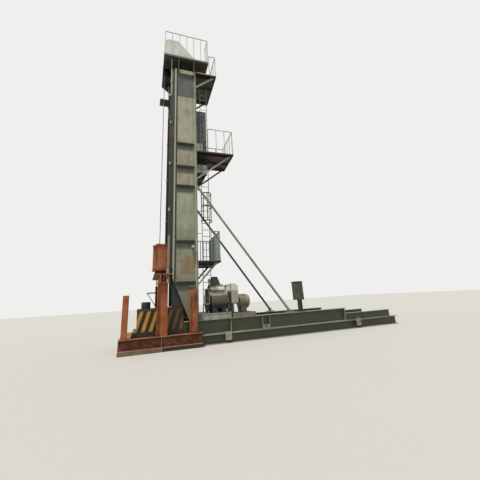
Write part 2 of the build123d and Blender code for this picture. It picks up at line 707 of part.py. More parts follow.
# Ladder in flights between the platforms, the last one up past the crown deck
ladder_x = (rear_face + LADDER_REACH, rear_face + LADDER_REACH + LADDER_WIDE)
flights = ((base_top, LOW_TOP - PLATFORM_DEEP), (LOW_TOP, MIDDLE_TOP - PLATFORM_DEEP),
           (MIDDLE_TOP, UPPER_TOP - PLATFORM_DEEP), (UPPER_TOP, deck_top + LADDER_RISE))
with BuildPart() as ladder:
    for z0, z1 in flights:
        for x in ladder_x:
            block((x - STILE / 2, LADDER_Y - STILE_DEEP / 2, z0),
                  (x + STILE / 2, LADDER_Y + STILE_DEEP / 2, z1))
        count = int((z1 - z0 - RUNG_STEP / 2) / RUNG_STEP)
        spots = [(LADDER_Y, z0 + RUNG_STEP * (i + 1)) for i in range(count)]
        with BuildSketch(Plane.YZ.offset(ladder_x[0])) as rungs:
            with Locations(*spots):
                RegularPolygon(RUNG_RADIUS, 6)
        extrude(rungs.sketch, amount=LADDER_WIDE)
    for share in BRACKETS:
        block((rear_face, LADDER_Y - STILE_DEEP / 3, level(share)),
              (ladder_x[0], LADDER_Y + STILE_DEEP / 3, level(share) + STILE))
finish(ladder.part, "ladder")

# Safety hoops with straps on the flight below the middle platform
cage_x = sum(ladder_x) / 2
cage_front = LADDER_Y - STILE_DEEP / 2
cage_y = cage_front - math.sqrt(HOOP_RADIUS ** 2 - (LADDER_WIDE / 2) ** 2)
with BuildPart() as cage:
    for share in HOOPS:
        with BuildSketch(Plane.XY.offset(level(share))) as hoop:
            with Locations((cage_x, cage_y)):
                Circle(HOOP_RADIUS)
                Circle(HOOP_RADIUS - HOOP_THICK, mode=Mode.SUBTRACT)
            with Locations((cage_x, cage_front + HOOP_RADIUS)):
                Rectangle(3 * HOOP_RADIUS, 2 * HOOP_RADIUS, mode=Mode.SUBTRACT)
        extrude(hoop.sketch, amount=HOOP_TALL)
    with BuildSketch(Plane.XY.offset(level(HOOPS[0]))) as straps:
        with Locations((cage_x, cage_y)):
            with PolarLocations(HOOP_RADIUS - 1.4 * HOOP_THICK, 5, 180, 180, endpoint=True):
                Rectangle(HOOP_THICK, 5 * HOOP_THICK)
    extrude(straps.sketch, amount=level(HOOPS[-1]) - level(HOOPS[0]) + HOOP_TALL)
finish(cage.part, "ladder_cage")

# Long braces from the tower's back down to the skid, with their head plates and feet
brace_y = strip_out - STILE
brace_head = (rear_face + BRACE_RADIUS, BRACE_HEAD)
brace_foot = (rear_face + BRACE_REACH, skid_top + CROSS_LIFT)
with BuildPart() as braces:
    for side in (-1, 1):
        round_bar((brace_head[0], side * brace_y, brace_head[1]),
                  (brace_foot[0], side * brace_y, brace_foot[1]),
                  BRACE_RADIUS)
        plate_xz([(rear_face, BRACE_HEAD + 2 * BRACE_RADIUS), (rear_face, BRACE_HEAD - 2 * BRACE_RADIUS),
                  (rear_face + 3 * BRACE_RADIUS, BRACE_HEAD - 3 * BRACE_RADIUS),
                  (rear_face + 2 * BRACE_RADIUS, BRACE_HEAD + BRACE_RADIUS / 2)],
                 side * brace_y - SHEET, side * brace_y + SHEET)
finish(braces.part, "braces")

with BuildPart() as brace_feet:
    pin_x = brace_foot[0] + SHEET
    for side in (-1, 1):
        y = side * brace_y
        block((brace_foot[0] - BRACE_PLATE_BEHIND, y - 1.5 * BRACE_RADIUS, skid_top),
              (brace_foot[0] + BRACE_PLATE_AHEAD, y + 1.5 * BRACE_RADIUS, skid_top + SKID_FLANGE))
        for s in (-1, 1):
            with BuildSketch(Plane.XZ.offset(-(y + s * 1.25 * BRACE_RADIUS + SHEET / 2))) as ear:
                with Locations((pin_x, skid_top + CROSS_LIFT / 2 + SHEET)):
                    Rectangle(2.2 * BRACE_RADIUS, CROSS_LIFT - 2 * SHEET)
                with Locations((pin_x, brace_foot[1])):
                    Circle(1.1 * BRACE_RADIUS)
            extrude(ear.sketch, amount=SHEET)
finish(brace_feet.part, "brace_feet")

# Drive base: a box frame on the skid behind the tower, with a top plate a little wider
base_half = GAUGE_HALF + DRIVE_SIDE
with BuildPart() as drive_base:
    block((tower_rear, -base_half + STIFFENER, skid_top),
          (tower_rear + DRIVE_BASE_LONG - STIFFENER, base_half - STIFFENER, base_top))
    block((tower_rear, -base_half, base_top - STIFFENER), (tower_rear + DRIVE_BASE_LONG, base_half, base_top))
    for share in (0.02, 0.34, 0.66, 0.97):
        x = tower_rear + share * DRIVE_BASE_LONG
        block((x, -base_half, skid_top), (x + STIFFENER, base_half, base_top))
finish(drive_base.part, "drive_base")

# Drive motor: round body with end bells on feet
drive_z = base_top + DRIVE_UP
drive_x = rear_face + DRIVE_GAP
drive_end = drive_x + DRIVE_LONG
bell = DRIVE_LONG * 0.09
with BuildPart() as drive:
    turned([(drive_x, 0), (drive_x, DRIVE_RADIUS * 0.9), (drive_x + bell / 2, DRIVE_RADIUS),
            (drive_end - bell / 2, DRIVE_RADIUS), (drive_end, DRIVE_RADIUS * 0.9), (drive_end, 0)], DRIVE_Y,
           drive_z)
    foot_half = DRIVE_RADIUS * 0.78
    for x in (drive_x + bell, drive_end - 4 * bell):
        block((x, DRIVE_Y - foot_half, base_top),
              (x + 3 * bell, DRIVE_Y + foot_half, drive_z - DRIVE_RADIUS / 2))
finish(drive.part, "drive_motor")

# Brake ring on the motor's front neck
ring_x = drive_x - NECK_LONG - RING_THICK
with BuildPart() as ring:
    turned([(ring_x, 0), (ring_x, RING_RADIUS), (ring_x + RING_THICK, RING_RADIUS),
            (ring_x + RING_THICK, NECK_RADIUS),
            (drive_x, NECK_RADIUS), (drive_x, 0)], DRIVE_Y, drive_z)
finish(ring.part, "drive_ring")

# Lever frame beside the ring: round bars standing on the drive base
lever_y = -base_half + LEVER_RADIUS
lever_xs = (ring_x - 5 * NECK_LONG / 2 - STIFFENER / 2 - BELT_MARGIN, ring_x - 2 * NECK_LONG,
            ring_x + RING_THICK - SHEET / 2)
lever_low = base_top + 0.38 * LEVER_TALL
with BuildPart() as lever:
    round_bar((lever_xs[0], lever_y, base_top), (lever_xs[0], lever_y, lever_low + LEVER_RADIUS),
              LEVER_RADIUS)
    round_bar((lever_xs[0] - LEVER_RADIUS, lever_y, lever_low),
              (lever_xs[2] + LEVER_RADIUS, lever_y, lever_low), LEVER_RADIUS)
    for x in lever_xs[1:]:
        round_bar((x, lever_y, lever_low), (x, lever_y, base_top + LEVER_TALL), LEVER_RADIUS)
    round_bar((lever_xs[1], lever_y, base_top + LEVER_TALL), (lever_xs[2], lever_y, base_top + LEVER_TALL),
              LEVER_RADIUS)
finish(lever.part, "lever_frame")

# Saddle cover over the motor, and the terminal box on it
saddle_low = drive_z + 0.87 * DRIVE_RADIUS
saddle_top = saddle_low + COVER_TALL
cover_half = COVER_WIDE / 2
saddle_shape = [(DRIVE_Y - cover_half, saddle_low + 0.25 * COVER_TALL),
                (DRIVE_Y - 0.23 * cover_half, saddle_top),
                (DRIVE_Y + 0.23 * cover_half, saddle_top),
                (DRIVE_Y + cover_half, saddle_low + 0.25 * COVER_TALL),
                (DRIVE_Y + cover_half, saddle_low), (DRIVE_Y - cover_half, saddle_low)]
with BuildPart() as saddle:
    extrude(outline(Plane.YZ.offset(drive_x), saddle_shape), amount=COVER_LONG)
    with BuildSketch(Plane.YZ.offset(drive_x - COVER_LONG / 2)) as body:
        with Locations((DRIVE_Y, drive_z)):
            Circle(DRIVE_RADIUS + SEAT)
    extrude(body.sketch, amount=2 * COVER_LONG, mode=Mode.SUBTRACT)
finish(saddle.part, "motor_cover")

with BuildPart() as terminal:
    box_x = drive_x + 0.17 * COVER_LONG
    box_long = 1.05 * BOX_TALL
    plate_xz([(box_x, saddle_top), (box_x + 0.08 * box_long, saddle_top + BOX_TALL),
              (box_x + 0.72 * box_long, saddle_top + BOX_TALL), (box_x + 1.1 * box_long, saddle_top)],
             DRIVE_Y - BOX_WIDE / 2, DRIVE_Y + BOX_WIDE / 2)
finish(terminal.part, "terminal_box")

# Motor base: an open frame behind the drive base, on the skid and on legs
frame_x = tower_rear + DRIVE_BASE_LONG + 3 * STIFFENER
frame_y0 = -base_half
frame_y1 = frame_y0 + MOTOR_BASE_WIDE
frame_foot = skid_top + MOTOR_BASE_TALL
frame_end = frame_x + MOTOR_BASE_LONG
with BuildPart() as motor_base:
    for y in (frame_y0, frame_y1 - BASE_WALL):
        block((frame_x, y, skid_top), (frame_end, y + BASE_WALL, frame_foot))
    for x in (frame_x, frame_x + 0.31 * MOTOR_BASE_LONG, frame_x + 0.62 * MOTOR_BASE_LONG,
              frame_end - BASE_WALL):
        block((x, frame_y0, frame_foot - BASE_WALL), (x + BASE_WALL, frame_y1, frame_foot))
    for x in (frame_x, frame_end - BASE_WALL):
        block((x, frame_y1 - BASE_WALL, cross_top + SHEET), (x + BASE_WALL, frame_y1, skid_top))
finish(motor_base.part, "motor_base")

# Belt guard: a casing with a rounded shoulder on one leg, and the coupling's cover on its face
hood_x = drive_x + DRIVE_LONG - DRIVE_RADIUS / 7
hood_low = drive_z + 0.71 * DRIVE_RADIUS
guard_x = frame_x - STIFFENER / 2
guard_low = frame_foot + GUARD_UP
guard_top = guard_low + GUARD_BODY
guard_end = guard_x + GUARD_LONG
guard_y0 = DRIVE_Y - GUARD_WIDE / 2
shoulder = GUARD_ROUND * math.sqrt(0.5)
with BuildPart() as belt_guard:
    with BuildSketch(Plane.XZ.offset(-guard_y0 - GUARD_WIDE)) as casing:
        with BuildLine():
            Polyline((guard_end, guard_top - GUARD_ROUND), (guard_end, guard_low), (guard_x, guard_low),
                     (guard_x, guard_top), (guard_end - GUARD_ROUND, guard_top))
            ThreePointArc((guard_end - GUARD_ROUND, guard_top),
                          (guard_end - GUARD_ROUND + shoulder, guard_top - GUARD_ROUND + shoulder),
                          (guard_end, guard_top - GUARD_ROUND))
        make_face()
    extrude(casing.sketch, amount=GUARD_WIDE)
    block((frame_x, guard_y0, frame_foot), (frame_x + GUARD_LEG, guard_y0 + GUARD_WIDE, guard_low))
    plate_xz([(hood_x, hood_low), (hood_x, hood_low + 0.55 * COVER_TALL),
              (hood_x + 0.32 * GUARD_LONG, hood_low + 1.15 * COVER_TALL),
              (guard_x, hood_low + 1.15 * COVER_TALL), (guard_x, hood_low)],
             DRIVE_Y - COUPLING_WIDE / 2, DRIVE_Y + COUPLING_WIDE / 2)
    with BuildSketch(Plane.YZ.offset(hood_x)) as body:
        with Locations((DRIVE_Y, drive_z)):
            Circle(DRIVE_RADIUS + SEAT)
    extrude(body.sketch, amount=drive_end + SEAT - hood_x, mode=Mode.SUBTRACT)
finish(belt_guard.part, "belt_guard")

# Drive shaft with its disc between the motor and the belt guard
disc_x = drive_end + GUARD_LEG / 2
with BuildPart() as coupling:
    turned([(drive_end, 0), (drive_end, DRIVE_SHAFT_RADIUS), (disc_x, DRIVE_SHAFT_RADIUS),
            (disc_x, DRIVE_RADIUS / 2), (disc_x + BELT_MARGIN, DRIVE_RADIUS / 2),
            (disc_x + BELT_MARGIN, DRIVE_SHAFT_RADIUS), (guard_x, DRIVE_SHAFT_RADIUS), (guard_x, 0)], DRIVE_Y,
           drive_z)
finish(coupling.part, "drive_coupling")

# Brake motor: a finned body with a domed cowl, on a foot
motor_z = frame_foot + MOTOR_UP
motor_x = guard_end + MOTOR_NECK
neck = MOTOR_RADIUS * 0.31
with BuildPart() as brake:
    profile = [(guard_end, 0), (guard_end, neck), (motor_x, neck), (motor_x, MOTOR_RADIUS * 0.86)]
    fins = 6
    pitch = MOTOR_LONG * 0.6 / fins
    for i in range(fins):
        x = motor_x + MOTOR_LONG * 0.08 + i * pitch
        profile += [(x, MOTOR_RADIUS * 0.9), (x, MOTOR_RADIUS), (x + pitch / 2, MOTOR_RADIUS),
                    (x + pitch / 2, MOTOR_RADIUS * 0.9)]
    cowl = motor_x + 0.72 * MOTOR_LONG
    profile += [(cowl, MOTOR_RADIUS * 0.96)]
    for turn in (15, 40, 65, 90):
        angle = math.radians(turn)
        profile += [(cowl + 0.28 * MOTOR_LONG * math.sin(angle),
                     MOTOR_RADIUS * (0.42 + 0.54 * math.cos(angle)))]
    profile += [(cowl + 0.28 * MOTOR_LONG, 0)]
    turned(profile, DRIVE_Y, motor_z)
    block((motor_x + pitch, DRIVE_Y - MOTOR_RADIUS * 0.8, frame_foot),
          (motor_x + 0.6 * MOTOR_LONG, DRIVE_Y + MOTOR_RADIUS * 0.8, motor_z - MOTOR_RADIUS / 2))
finish(brake.part, "brake_motor")

# Control cabinet with an overhanging roof, on its post
cabinet_x = tower_rear + CABINET_AT
cabinet_y = -TOWER_HALF
cabinet_z = skid_top + CABINET_UP
with BuildPart() as cabinet:
    block((cabinet_x, cabinet_y, cabinet_z),
          (cabinet_x + CABINET_LONG, cabinet_y + CABINET_DEEP, cabinet_z + CABINET_TALL))
    block((cabinet_x - STIFFENER, cabinet_y - STIFFENER, cabinet_z + CABINET_TALL),
          (cabinet_x + CABINET_LONG + STIFFENER, cabinet_y + CABINET_DEEP + STIFFENER,
           cabinet_z + CABINET_TALL + STIFFENER))
finish(cabinet.part, "control_cabinet")

post_x = cabinet_x + 0.4 * CABINET_LONG
post_y = cabinet_y + (CABINET_DEEP - CABINET_POST) / 2
with BuildPart() as post:
    block((post_x, post_y, skid_top), (post_x + CABINET_POST, post_y + CABINET_POST, cabinet_z))
    block((post_x - CABINET_POST / 2, post_y - CABINET_POST / 2, skid_top),
          (post_x + 1.5 * CABINET_POST, post_y + 1.5 * CABINET_POST, skid_top + STIFFENER))
finish(post.part, "cabinet_post")

# Load test frame round the well: base beams with their centre stiffeners and end gussets
frame_top = FRAME_LIFT + FRAME_DEPTH
test_x0 = -FRAME_AHEAD
test_x1 = test_x0 + FRAME_LONG
back_post_x = test_x1 - 0.158 * FRAME_LONG
with BuildPart() as base_beams:
    for side in (-1, 1):
        y = side * FRAME_HALF
        beam_along_x(test_x0, test_x1, y, FRAME_LIFT, FRAME_DEPTH, FRAME_WIDTH, FRAME_FLANGE, FRAME_WEB)
        block((CENTRE_X - STIFFENER / 2, y - FRAME_WIDTH / 2 + SHEET, FRAME_LIFT + FRAME_FLANGE / 2),
              (CENTRE_X + STIFFENER / 2, y + FRAME_WIDTH / 2 - SHEET, frame_top - FRAME_FLANGE / 2))
        gusset_x = back_post_x + BACK_POST_WIDE
        plate_xz([(gusset_x, frame_top), (gusset_x, frame_top + CROSS_LIFT), (test_x1, frame_top)],
                 y - SHEET / 2, y + SHEET / 2)
finish(base_beams.part, "frame_base_beams")

# Cross beams between the base beams, the first with a broad flange flush with their tops
tray_bottom = frame_top - 2 * FRAME_FLANGE
box_bottom = tray_bottom + TRAY_TALL
with BuildPart() as frame_cross:
    flange_in = FRAME_HALF - FRAME_WIDTH / 2
    beam_along_y(-flange_in, flange_in, test_x0 + CENTRE_DEPTH / 2, FRAME_LIFT, FRAME_DEPTH, CENTRE_DEPTH,
                 FRAME_FLANGE, FRAME_WEB)
    web_in = FRAME_HALF - FRAME_WEB / 2
    low = FRAME_LIFT + 2 * FRAME_FLANGE
    for share in (0.35, 0.6):
        beam_along_y(-web_in, web_in, test_x0 + share * FRAME_LONG, low, tray_bottom - low, CROSS_WIDTH,
                     CROSS_FLANGE, SHEET)
finish(frame_cross.part, "frame_cross_beams")

# Sleepers under the well half of the frame, and narrower packing under the other half
with BuildPart() as sleepers:
    for side in (-1, 1):
        sided(test_x0, test_x0 + SLEEPER_LONG, side, FRAME_HALF - FRAME_WIDTH / 2,
              FRAME_HALF + FRAME_WIDTH / 2, 0, FRAME_LIFT)
        sided(test_x0 + SLEEPER_LONG + STIFFENER, test_x1, side, FRAME_HALF - PACKING_WIDTH / 2,
              FRAME_HALF + PACKING_WIDTH / 2,
              0, FRAME_LIFT)
finish(sleepers.part, "frame_sleepers")

# Corner posts: one at the front near corner, two at the back
post_foot = Plane(origin=(0, 0, frame_top), x_dir=(0, 1, 0), z_dir=(0, 0, 1))
front_post_x = test_x0 + 0.06 * FRAME_LONG
with BuildPart() as corner_posts:
    with BuildSketch(Plane.XY.offset(frame_top)) as front_post:
        add(i_section(Plane.XY.offset(frame_top), (front_post_x, -FRAME_HALF), FRAME_WIDTH * 0.9,
                      FRONT_POST_WIDE, CROSS_FLANGE, SHEET))
    extrude(front_post.sketch, amount=FRONT_POST_TALL)
    for side in (-1, 1):
        extrude(i_section(post_foot, (side * FRAME_HALF, -back_post_x - BACK_POST_WIDE / 2), BACK_POST_WIDE,
                          0.75 * FRAME_WIDTH,
                          CROSS_FLANGE, SHEET), amount=BACK_POST_TALL)
finish(corner_posts.part, "frame_corner_posts")

# Centre columns with cap plates; the far one carries a bracket arm with a stay
column_top = frame_top + CENTRE_TALL
cap_top = column_top + CAP
with BuildPart() as centre_columns:
    for side in (-1, 1):
        y = side * FRAME_HALF
        extrude(i_section(post_foot, (y, -CENTRE_X), CENTRE_DEPTH, CENTRE_WIDTH, CROSS_FLANGE + 4, SHEET),
                amount=CENTRE_TALL)
        block((CENTRE_X - 0.55 * CENTRE_DEPTH, y - 0.52 * CENTRE_WIDTH, column_top),
              (CENTRE_X + 0.55 * CENTRE_DEPTH, y + 0.52 * CENTRE_WIDTH, cap_top))
    arm_x = CENTRE_X - CENTRE_DEPTH / 2
    arm_z = frame_top + 0.85 * CENTRE_TALL
    arm_out = arm_x - CENTRE_DEPTH
    block((arm_out, FRAME_HALF - 2 * STIFFENER, arm_z),
          (arm_x, FRAME_HALF + 2 * STIFFENER, arm_z + 3 * STIFFENER))
    plate_xz([(arm_out + STIFFENER, arm_z), (arm_out + 3 * STIFFENER, arm_z),
              (arm_x, arm_z - 1.25 * CENTRE_DEPTH),
              (arm_x, arm_z - 1.45 * CENTRE_DEPTH)], FRAME_HALF - SHEET, FRAME_HALF + SHEET)
finish(centre_columns.part, "frame_centre_columns")

# Cross head: a girder of two webs under a broad plate, tied down by rods on the column caps
web_top = cap_top + HEAD_TALL
head_half = FRAME_HALF + FRAME_WIDTH / 2
head_x = CENTRE_X + 2.25 * STIFFENER
with BuildPart() as cross_head:
    for s in (-1, 1):
        x = head_x + s * HEAD_WEB_GAP / 2
        block((x - HEAD_WEB / 2, -head_half + STIFFENER, cap_top),
              (x + HEAD_WEB / 2, head_half - STIFFENER, web_top))
    for y in (-head_half / 3, 0, head_half / 3):
        block((head_x - HEAD_WEB_GAP / 2, y - SHEET / 2, cap_top + STIFFENER),
              (head_x + HEAD_WEB_GAP / 2, y + SHEET / 2, web_top))
    block((CENTRE_X - HEAD_PLATE_WIDE / 2, -head_half, web_top),
          (CENTRE_X + HEAD_PLATE_WIDE / 2, head_half, web_top + HEAD_PLATE))
    for x in (head_x - 0.92 * HEAD_WEB_GAP, head_x + 0.72 * HEAD_WEB_GAP):
        for side in (-1, 1):
            for y in (side * FRAME_HALF - CENTRE_WIDTH * 0.35, side * FRAME_HALF + CENTRE_WIDTH * 0.35):
                round_bar((x, y, cap_top), (x, y, web_top), ROD_RADIUS)
finish(cross_head.part, "frame_cross_head")

# Hanging block: an H stub between end plates, turned a little on the belt's line
hang_low = web_top + HEAD_PLATE + LINK_TALL
with BuildPart() as hanging:
    turn_plane = Plane(origin=(HANG_X, 0, hang_low),
                       x_dir=(math.cos(math.radians(HANG_TURN)), math.sin(math.radians(HANG_TURN)), 0),
                       z_dir=(0, 0, 1))
    with BuildSketch(turn_plane) as stub:
        Rectangle(HANG_THICK, HANG_DEPTH)
        for s in (-1, 1):
            with Locations((0, s * (HANG_DEPTH - HANG_THICK) / 2)):
                Rectangle(HANG_FLANGE, HANG_THICK)
    extrude(stub.sketch, amount=HANG_TALL)
    with BuildSketch(turn_plane) as ends:
        Rectangle(1.1 * HANG_FLANGE, 1.1 * HANG_DEPTH)
    extrude(ends.sketch, amount=HANG_PLATE)
    extrude(ends.sketch.moved(Location((0, 0, HANG_TALL - HANG_PLATE))), amount=HANG_PLATE)
finish(hanging.part, "hanging_block")

with BuildPart() as links:
    for s in (-1, 1):
        block((HANG_X - LINK_WIDE / 2, s * LINK_Y - SHEET, hang_low - LINK_TALL),
              (HANG_X + LINK_WIDE / 2, s * LINK_Y + SHEET, hang_low))
finish(links.part, "hanger_links")

# Striped box in the frame with its lid and end ribs, on its tray, with a drum on the lid
box_x1 = SKID_FRONT - BOX_GAP
box_x0 = box_x1 - BOX_LONG
lid_bottom = box_bottom + BOX_BODY
lid_top = lid_bottom + BOX_LID
with BuildPart() as striped:
    block((box_x0, -BOX_HALF, box_bottom), (box_x1, BOX_HALF, lid_bottom))
    block((box_x0 - LID_PROUD, -BOX_HALF - LID_PROUD, lid_bottom),
          (box_x1 + LID_PROUD, BOX_HALF + LID_PROUD, lid_top))
finish(striped.part, "striped_box")

with BuildPart() as tray:
    block((box_x0 - 7 * STIFFENER, -BOX_HALF - 4 * STIFFENER, tray_bottom),
          (box_x1, BOX_HALF + 4 * STIFFENER, box_bottom))
finish(tray.part, "box_tray")

with BuildPart() as lid_drum:
    with BuildSketch(Plane.XY.offset(lid_top)) as drum_round:
        with Locations((box_x0 + 0.18 * BOX_LONG, -0.62 * BOX_HALF)):
            Circle(0.1 * BOX_LONG)
    extrude(drum_round.sketch, amount=0.15 * BOX_LONG)
finish(lid_drum.part, "lid_drum")
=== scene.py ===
"""Looks of the belt pumping unit: weathered enamel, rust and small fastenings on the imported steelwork."""

import json

import bpy
import numpy as np
from mathutils import Matrix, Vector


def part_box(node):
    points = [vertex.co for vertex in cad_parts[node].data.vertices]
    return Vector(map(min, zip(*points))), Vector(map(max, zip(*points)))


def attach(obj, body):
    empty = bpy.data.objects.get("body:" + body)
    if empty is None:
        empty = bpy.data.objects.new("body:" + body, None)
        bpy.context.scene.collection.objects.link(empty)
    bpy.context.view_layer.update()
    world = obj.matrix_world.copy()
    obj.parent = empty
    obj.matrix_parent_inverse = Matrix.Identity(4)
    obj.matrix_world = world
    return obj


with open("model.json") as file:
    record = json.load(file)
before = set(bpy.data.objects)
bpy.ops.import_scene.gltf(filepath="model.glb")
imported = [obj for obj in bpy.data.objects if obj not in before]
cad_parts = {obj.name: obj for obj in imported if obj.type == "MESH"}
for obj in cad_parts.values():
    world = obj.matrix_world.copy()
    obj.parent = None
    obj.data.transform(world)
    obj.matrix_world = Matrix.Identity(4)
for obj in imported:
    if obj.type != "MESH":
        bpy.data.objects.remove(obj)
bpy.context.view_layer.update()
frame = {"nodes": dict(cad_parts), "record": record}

bl_info = {
    "name": "Belt Pumping Unit Looks",
    "version": (1, 0, 0),
    "blender": (4, 5, 0),
    "location": "View3D > Sidebar > Pumping Unit",
    "description": "Paint, rust and small fittings for a belt pumping unit",
    "category": "Object",
}

# Camera: pixels of a square image, then its place in metres and its axes, worked out from vanishing lines
IMAGE_SIDE = 480
SENSOR_MM = 36.0
FOCAL_PIXELS = 270.0
OPTICAL_AXIS_PIXEL = (240.0, 214.0)
CAMERA_PLACE = (-0.468, -11.722, 1.584)
CAMERA_RIGHT = (0.94719, -0.31512, -0.05947)
CAMERA_UP = (-0.03984, -0.29964, 0.95322)
CAMERA_BACK = (-0.31819, -0.90051, -0.29637)
CAMERA_REACH = 400

# Studio: where the key lamp shines, its angle in radians, and how far the floor lies under the rails
LAMP_DIRECTION = (0.45, 0.42, -1.6)
LAMP_ANGLE = 0.09
FLOOR_DROP = 0.002

# Features of the finishes in millimetres, as they lie on the steel. The peel of enamel (2 mm), the grain
# of rust (1 mm) and the ribs of the belt (2 mm) are too fine to show, so they are drawn coarser here.
SUN_PATCH_MM = 1111
STREAK_WIDE_MM = 117.6
STREAK_LONG_MM = 1961
STAIN_MM = 294.1
CHIP_MM = 384.6
RAGGED_EDGE_MM = 250
ENAMEL_PEEL_MM = 18.18
RUST_PATCH_MM = 454.5
RUST_GRAIN_MM = 14.29
DUST_MM = 200
OIL_FILM_MM = 333.3
BELT_RIB_MM = 10.47
STRIPE_STEP_MM = 260

# Directions that a face may look along
UP = ("Z", 1)
DOWN = ("Z", -1)
FORWARD = ("X", -1)
BACKWARD = ("X", 1)

# Halves of the unit, as spans of Y in metres
NEAR_HALF = (-2, 0)
FAR_HALF = (0.1, 2)

# Beams on the ground in metres: how far the webs stand from the middle plane, and the levels of the webs
LONG_WEB_Y = 0.9
RAIL_WEB_Z = (0.03, 0.32)
SKID_WEB_Z = (0.385, 0.85)
BASE_WEB_Y = 1.23

# Side panels of the tower in metres: columns and the grooves beside them along X, ledges and marks up Z
FRONT_COLUMN_X = (0.45, 0.514)
FRONT_GROOVE_X = (0.516, 0.585)
REAR_GROOVE_X = (1.27, 1.325)
REAR_COLUMN_X = (1.335, 1.42)
LEDGE_LEVELS = (2.29, 3.9, 6.3, 7.22, 8.35)
MARK_LEVELS = (7.32, 6.32)
MARK_X = 0.93

# Seats and sizes of the fittings in metres, most from a side of their node's box
PANEL_SET = 0.07
DOOR_SET = 0.02
FOOT_WIDE = 0.144
FOOT_THICK = 0.026
PIN_AHEAD = 0.172
PIN_HIGH = 0.12
HEAD_PLATE = 0.031
THREAD_PITCH = 0.006
ROD_OFFSETS = (-0.09, 0.02, 0.11)
RING_BOLT_RADIUS = 0.3
CLAMP_LONG = 0.24
CLAMP_BOLT_Z = 0.3
WALL_LAMP_PLACE = (1.25, 3.70)
WELD_RISES = (3.01816, 5.41565, 6.34057, 7.47238)
WELD_RADIUS = 0.005


# Colours and nodes
def linear(colour):
    """An sRGB hex colour turned to the linear values that a shader takes. A setting is linear already."""
    if not isinstance(colour, str):
        return tuple(colour)
    values = np.array([int(colour[i:i + 2], 16) / 255 for i in (1, 3, 5)])
    curved = ((values + 0.055) / 1.055) ** 2.4
    return (*np.where(values <= 0.04045, values / 12.92, curved).tolist(), 1.0)


WHITE = (1, 1, 1, 1)
BLACK = (0, 0, 0, 1)


def add(tree, kind, sockets=None, stops=(), **settings):
    """Add a shader node with its settings and links.

    sockets maps an input to a value or to (node, output), stops are the (place, colour) pairs of a colour
    ramp, and the other settings are the node's own properties.
    """
    node = tree.nodes.new("ShaderNode" + kind)
    for key, value in settings.items():
        setattr(node, key, value)
    for key, value in (sockets or {}).items():
        if isinstance(value, tuple) and isinstance(value[0], bpy.types.Node):
            tree.links.new(value[0].outputs[value[1]], node.inputs[key])
        else:
            node.inputs[key].default_value = value
    if stops:
        band = node.color_ramp.elements
        band[0].position, band[1].position = stops[0][0], stops[-1][0]
        band[0].color, band[1].color = stops[0][1], stops[-1][1]
        for place, colour in stops[1:-1]:
            band.new(place).color = colour
    return node


def per_metre(size):
    """A texture's scale from the size of one feature in millimetres: 1000 / size."""
    return 1000 / size


def new_material(name):
    """An empty node material, its tree, and the output of its object coordinates."""
    material = bpy.data.materials.new(name)
    material.use_nodes = True
    tree = material.node_tree
    tree.nodes.clear()
    return material, tree, (add(tree, "TexCoord"), "Object")


def close(tree, sockets):
    """The shader and the output at the end of a material."""
    shader = add(tree, "BsdfPrincipled", sockets)
    add(tree, "OutputMaterial", {0: (shader, 0)})


def zone(paint, strength=1.0, soft=0.004, ragged=0.0, facing=None, lean=None, **spans):
    """A paint for a part of a node: spans give (low, high) in metres for X, Y or Z.

    soft is the half width of an edge, ragged how far noise carries it, and facing an (axis, sign) that the
    surface has to look along. lean is (slope, height): X is then measured from a line that leans that much.
    """
    return {"paint": paint, "strength": strength, "soft": soft, "ragged": ragged, "facing": facing,
            "lean": lean, "spans": spans}


def zone_mask(tree, place, area):
    """The mask of a zone, as the product of a rise and a fall on each axis that it names."""
    axes = add(tree, "SeparateXYZ", {0: place})
    mask = area["strength"]
    if area["ragged"]:
        wander = add(tree, "TexNoise", {"Vector": place, "Scale": per_metre(RAGGED_EDGE_MM), "Detail": 6.0,
                                        "Roughness": 0.65})
        drift = add(tree, "MapRange", {"Value": (wander, 0), "From Min": 0.3, "From Max": 0.7,
                                       "To Min": -area["ragged"], "To Max": area["ragged"]})
    for axis, (low, high) in area["spans"].items():
        value = (axes, axis)
        if area["lean"] and axis == "X":
            slope, height = area["lean"]
            shift = add(tree, "Math", {0: (axes, "Z"), 1: -slope, 2: slope * height},
                        operation="MULTIPLY_ADD")
            value = (add(tree, "Math", {0: value, 1: (shift, 0)}, operation="ADD"), 0)
        if area["ragged"]:
            value = (add(tree, "Math", {0: value, 1: (drift, 0)}, operation="ADD"), 0)
        for edge, turn in ((low, 1), (high, -1)):
            step = add(tree, "MapRange", {"Value": value, "From Min": edge - turn * area["soft"],
                                          "From Max": edge + turn * area["soft"]})
            mask = (add(tree, "Math", {0: mask, 1: (step, 0)}, operation="MULTIPLY"), 0)
    if area["facing"]:
        axis, sign = area["facing"]
        sides = add(tree, "SeparateXYZ", {0: (add(tree, "NewGeometry"), "Normal")})
        look = add(tree, "MapRange", {"Value": (sides, axis), "From Min": sign * 0.5, "From Max": sign * 0.8})
        mask = (add(tree, "Math", {0: mask, 1: (look, 0)}, operation="MULTIPLY"), 0)
    return mask


def lay_zones(tree, place, colour, zones):
    """The colour with each zone's paint laid over it in turn."""
    for area in zones:
        mask = zone_mask(tree, place, area)
        colour = (add(tree, "Mix", {0: mask, 6: colour, 7: linear(area["paint"])}, data_type="RGBA"), 2)
    return colour


